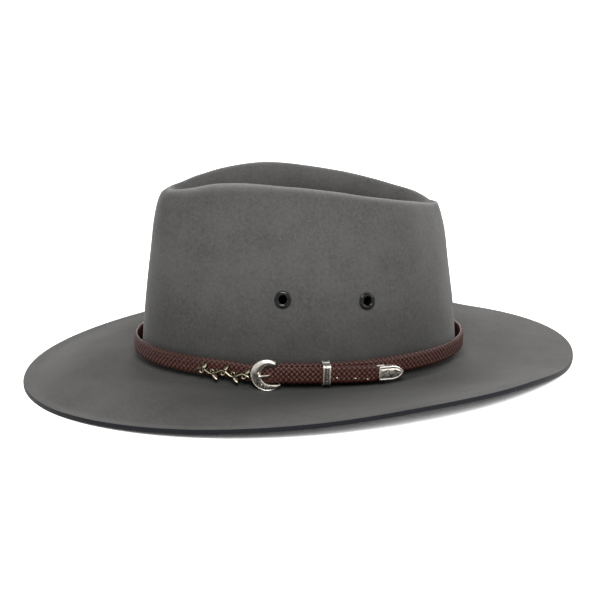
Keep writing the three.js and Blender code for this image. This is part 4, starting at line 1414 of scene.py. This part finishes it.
@dataclass
class StrapTip:
    """The pointed metal tip: raised rim, sunk panel with a scroll, and a socket for the strap."""

    path: StrapPath
    height: float = 9.4
    rim: float = 1.3
    sunk: float = 0.4
    panel: float = 0.16
    scroll_radius: float = 0.24
    curl_radius: float = 0.2
    leaf_radius: float = 0.3
    curls: tuple[float, ...] = (3.0, 5.9, 8.8, 11.6)

    def half(self, along: Array) -> Array:
        """Half the tip's height at a distance along it."""
        return self.height / 2 * TIP.read("half", along / self.path.tip_length)

    def build(self) -> bpy.types.Object:
        """Makes and dresses the tip."""
        path = self.path
        depth = path.thickness / 2 + path.clearance + path.tip_plate
        along = np.concatenate([[0, 0.3], np.linspace(0.8, path.tip_length - 1.2, 40),
                                path.tip_length - np.array([0.8, 0.5, 0.25, 0.1, 0.0])])
        half = self.half(along)
        inner = np.maximum(half - self.rim, 0.02)
        rings = []
        for a, h, k in zip(along, half, inner):
            floor = depth - self.sunk * ease(a, 0.5, 1.1) * ease(k, 0.15, 0.6)
            taper = 0.25 + 0.75 * math.sqrt(1 - ((a / path.tip_length) ** 5) * 0.96)
            panel = max(floor, depth - self.panel)
            front = [(h, depth * 0.4), (h * 0.985, depth * 0.7), (mix(k, h, 0.78), depth * 0.93),
                     (mix(k, h, 0.42), depth), (mix(k, h, 0.12), depth * 0.985), (k, floor),
                     (k * 0.86, floor), (k * 0.79, panel), (k * 0.4, panel + 0.05), (0, panel + 0.07)]
            back = [(0, -depth), (h * 0.72, -depth), (h * 0.95, -depth * 0.8), (h, -depth * 0.4)]
            upper = [*back, *front]
            lower = [(-y, z) for y, z in upper[::-1] if y > 0]
            rings.append([(a, y, z * taper) for y, z in upper + lower])
        shell = Shell()
        shell.add_rings(np.array(rings)[:, ::-1])
        place = path.placed(path.turn_at(path.tail))
        body = shell.build("pointed_tip", place)
        socket = Shell()
        gap, deep = path.thickness / 2 + path.clearance, path.tip_socket
        square = np.array([(-1, -1), (1, -1), (1, 1), (-1, 1)]) * (1.5 * path.height, gap)
        socket.add_rings(np.stack([np.column_stack([np.full(4, x), square]) for x in (-deep, deep)]))
        cut_away(body, socket.build("socket", place))
        scroll = self.engraving(depth - self.panel).build("tip_scroll", place)
        return finish(self.joined(body, scroll), ANTIQUE_SILVER, "silver", "strap_tip")

    @staticmethod
    def joined(first: bpy.types.Object, second: bpy.types.Object) -> bpy.types.Object:
        """Two objects as one, under the first one's name."""
        graph = bpy.context.evaluated_depsgraph_get()
        with bpy.context.temp_override(active_object=first, selected_editable_objects=[first, second],
                                       depsgraph=graph):
            bpy.ops.object.join()
        return first

    def engraving(self, level: float) -> Shell:
        """The panel's raised scroll: a wavy line with curls and leaves on both sides of it."""
        shell = Shell()
        length = self.path.tip_length
        share = np.linspace(0, 1, 60)
        along = mix(1.6, length - 3.4, share)
        inner = np.maximum(self.half(along) - self.rim, 0)
        wave = as_points(along, 0.42 * inner * np.sin(share * 2.6 * math.pi), level)
        shell.add_wire(wave, self.scroll_radius)
        curl, leaf = np.linspace(0, 1, 26), np.linspace(0, 1, 10)
        angle = np.radians(-90 + 400 * curl)
        for i, at in enumerate(self.curls):
            side = 1 if i % 2 else -1
            reach = 0.44 * float(np.maximum(self.half(np.array(at)) - self.rim, 0))
            radius = reach * 0.62 * (1 - 0.72 * curl)
            line = as_points(at + radius * np.cos(angle), side * (reach + radius * np.sin(angle)), level)
            shell.add_wire(line, self.curl_radius)
            line = as_points(at + mix(0.9, 2.3, leaf), -side * reach * mix(0.5, 1.7, leaf), level)
            shell.add_bud(line, self.leaf_radius, 0.3)
        return shell


@dataclass
class Vine:
    """An openwork vine on the strap: a wavy stem with a leaf and a curling tendril at each bend."""

    path: StrapPath
    buckle_radius: float = 10.2
    length: float = 35.5
    bends: int = 5
    wave: float = 1.4
    depth: float = 1.1
    stem: float = 0.85
    shift: float = -1.9
    gap: float = 0.5
    tendril_radius: float = 1.75
    tendril_turn: float = 306
    leaf_reach: float = 3.5
    leaf_slant: float = 3.7
    leaf_width: float = 1.75
    channel: tuple[tuple[float, float], ...] = (
        (1, 0), (1, 0.62), (0.86, 0.92), (0.66, 1), (0.46, 0.86), (0.22, 0.56), (0, 0.5), (-0.22, 0.56),
        (-0.46, 0.86), (-0.66, 1), (-0.86, 0.92), (-1, 0.62), (-1, 0))

    def stroke(self, shell: Shell, line: Array, halves: Array, depth: float) -> None:
        """Adds one stroke of the openwork, with raised edges and a sunk middle."""
        along = normalised(np.gradient(line, axis=0))
        across = np.stack([-along[:, 1], along[:, 0]], axis=-1)
        section = np.array(self.channel)
        flat = line[:, None] + across[:, None] * (halves[:, None] * section[:, 0][None])[..., None]
        shell.add_rings(as_points(flat[..., 0], flat[..., 1], (section[:, 1] * depth)[None])[:, ::-1])

    def stem_at(self, along: Array) -> Array:
        """Points of the wavy stem."""
        return np.stack([along, self.wave * np.sin(math.pi * along * self.bends / self.length)], axis=-1)

    def build(self) -> bpy.types.Object:
        """Makes and dresses the vine."""
        shell = Shell()
        share = np.linspace(0, 1, 110)
        self.stroke(shell, self.stem_at(share * self.length), self.stem * mix(0.6, 1.15, share), self.depth)
        bend = self.length / self.bends
        for i in range(self.bends):
            side = 1 if i % 2 else -1
            root = self.stem_at(np.array([(i + 0.5) * bend]))[0]
            self.tendril(shell, root, side)
            self.leaf(shell, root, side)
        start = -self.buckle_radius - self.gap - self.length

        def placed(points: Array) -> Array:
            """Sets the flat vine on the strap's face."""
            return self.path.bent(points + (start, self.shift, self.path.front))

        return finish(shell.build("vine", placed), AGED_BRASS, "ornament", "vine_ornament")

    def tendril(self, shell: Shell, root: Array, side: int) -> None:
        """Adds a tendril that curls in on itself."""
        share = np.linspace(0, 1, 36)
        angle = side * np.radians(mix(-90, self.tendril_turn - 90, share))
        radius = self.tendril_radius * mix(1, 0.38, share)
        line = np.stack([root[0] + radius * np.cos(angle),
                         root[1] + side * self.tendril_radius + radius * np.sin(angle)], axis=-1)
        self.stroke(shell, line, self.stem * mix(0.85, 0.7, share), self.depth * 0.9)

    def leaf(self, shell: Shell, root: Array, side: int) -> None:
        """Adds a pointed leaf."""
        share = np.linspace(0, 1, 24)
        bow = 0.5 * np.sin(math.pi * share)
        line = root + np.stack([self.leaf_slant * share + bow, -side * self.leaf_reach * share], axis=-1)
        self.stroke(shell, line, self.leaf_width * LEAF.read("half", share), self.depth * 0.8)


@dataclass
class Tacks:
    """Small bright tack heads in the strap's tail, as (distance from the buckle, up)."""

    path: StrapPath
    radius: float = 0.52
    places: tuple[tuple[float, float], ...] = ((43.2, -1.9), (55.2, -2.5), (63.2, -3.3))

    def build(self) -> bpy.types.Object:
        """Makes and dresses the tack heads."""
        shell = Shell()
        for distance, up in self.places:
            shell.add_ball(np.array([distance, up, self.path.thickness / 2 - 0.1]), self.radius, 0.55, 16)
        return finish(shell.build("tail_tacks", self.path.bent), ANTIQUE_SILVER, "silver")


@dataclass(frozen=True)
class SoftLight:
    """A rectangular studio light that points at the hat."""

    name: str
    place: tuple[float, float, float]
    width: float
    height: float
    power: float
    colour: Colour = (1.0, 1.0, 1.0)
    target: tuple[float, float, float] = (0, 0, 0.06)

    def build(self) -> bpy.types.Object:
        """Makes the light."""
        data = bpy.data.lights.new(self.name, "AREA")
        data.shape = "RECTANGLE"
        data.size, data.size_y = self.width, self.height
        data.energy, data.color = self.power, self.colour
        made = bpy.data.objects.new(self.name, data)
        made.location = self.place
        made.rotation_euler = (Vector(self.target) - made.location).to_track_quat("-Z", "Y").to_euler()
        bpy.context.scene.collection.objects.link(made)
        return made


@dataclass
class Studio:
    """The floor, the light and the camera. Lengths here are metres, but the floor's gap is millimetres."""

    azimuth: float = 72.0
    elevation: float = 15.7
    roll: float = -1.98
    distance: float = 1.5
    metres_per_pixel: float = 0.000659
    picture: int = 600
    centre_drop: float = 63.8
    world_light: float = 0.05
    world_shine: float = 0.66
    floor_size: float = 14.0
    floor_gap: float = 0.15
    lights: tuple[SoftLight, ...] = (
        SoftLight("front_key", (1.33, -0.43, 1.4), 0.8, 0.8, 29.0),
        SoftLight("back_key", (-1.52, 0.49, 1.2), 0.9, 0.9, 19.0),
        SoftLight("back_right", (-0.77, 1.51, 1.1), 0.8, 0.8, 11.0),
        SoftLight("left_strip", (-0.5, -1.85, 0.7), 0.4, 0.9, 4.2),
        SoftLight("right_strip", (0.95, 1.65, 0.75), 0.4, 0.9, 8.8),
    )

    def camera(self) -> bpy.types.Object:
        """The camera, at the photograph's angle, with the picture's middle above the hat's origin."""
        azimuth, elevation, roll = (math.radians(a) for a in (self.azimuth, self.elevation, self.roll))
        back = Vector((math.sin(azimuth) * math.cos(elevation), -math.cos(azimuth) * math.cos(elevation),
                       math.sin(elevation)))
        level = Vector((math.cos(azimuth), math.sin(azimuth), 0))
        upright = back.cross(level)
        right = level * math.cos(roll) + upright * math.sin(roll)
        up = upright * math.cos(roll) - level * math.sin(roll)
        place = back * self.distance
        towards = (place - up * self.centre_drop * self.metres_per_pixel).normalized()
        data = bpy.data.cameras.new("camera")
        data.lens = data.sensor_width * self.distance / self.metres_per_pixel / self.picture
        data.clip_end = 50
        made = bpy.data.objects.new("camera", data)
        axes = Matrix((right, towards.cross(right), towards)).transposed()
        made.matrix_world = Matrix.Translation(place) @ axes.to_4x4()
        bpy.context.scene.collection.objects.link(made)
        bpy.context.scene.camera = made
        return made

    def floor(self) -> bpy.types.Object:
        """A wide plain floor, a hair below the brim's lowest face."""
        half = self.floor_size / 2 / MM
        square = half * np.array([(-1, -1), (1, -1), (1, 1), (-1, 1)])
        made = mesh_object("floor", as_points(square[:, 0], square[:, 1], -self.floor_gap), [(0, 1, 2, 3)])
        made.data.materials.append(PaleFloor().make())
        return made

    def build(self) -> None:
        """Makes the camera, the lights, the sky and the floor."""
        scene = bpy.context.scene
        self.camera()
        for light in self.lights:
            light.build()
        sky = bpy.data.worlds.new("sky")
        sky.use_nodes = True
        desk = NodeDesk(sky.node_tree)
        path = desk.add("ShaderNodeLightPath")
        shine = desk.remap(path.outputs["Is Glossy Ray"], 0.0, 1.0, self.world_light, self.world_shine)
        strength = desk.maths("MAXIMUM", shine, path.outputs["Is Camera Ray"])
        background = sky.node_tree.nodes["Background"]
        background.inputs["Color"].default_value = (1.0, 1.0, 1.0, 1.0)
        sky.node_tree.links.new(strength, background.inputs["Strength"])
        scene.world = sky
        scene.view_settings.view_transform = "Standard"
        self.floor()


def main() -> None:
    """Builds the studio and the hat, piece by piece."""
    logging.basicConfig(level=logging.INFO, format="%(message)s")
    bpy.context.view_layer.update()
    Studio().build()
    form = HatForm()
    eyelets = Eyelets(form)
    FeltBody(form, eyelets).build()
    eyelets.build()
    path = StrapPath(form)
    PlaitedBand(path).build()
    Buckle(path).build()
    Keeper(path).build()
    StrapTip(path).build()
    Vine(path).build()
    Tacks(path).build()


if __name__ == "__main__":
    main()
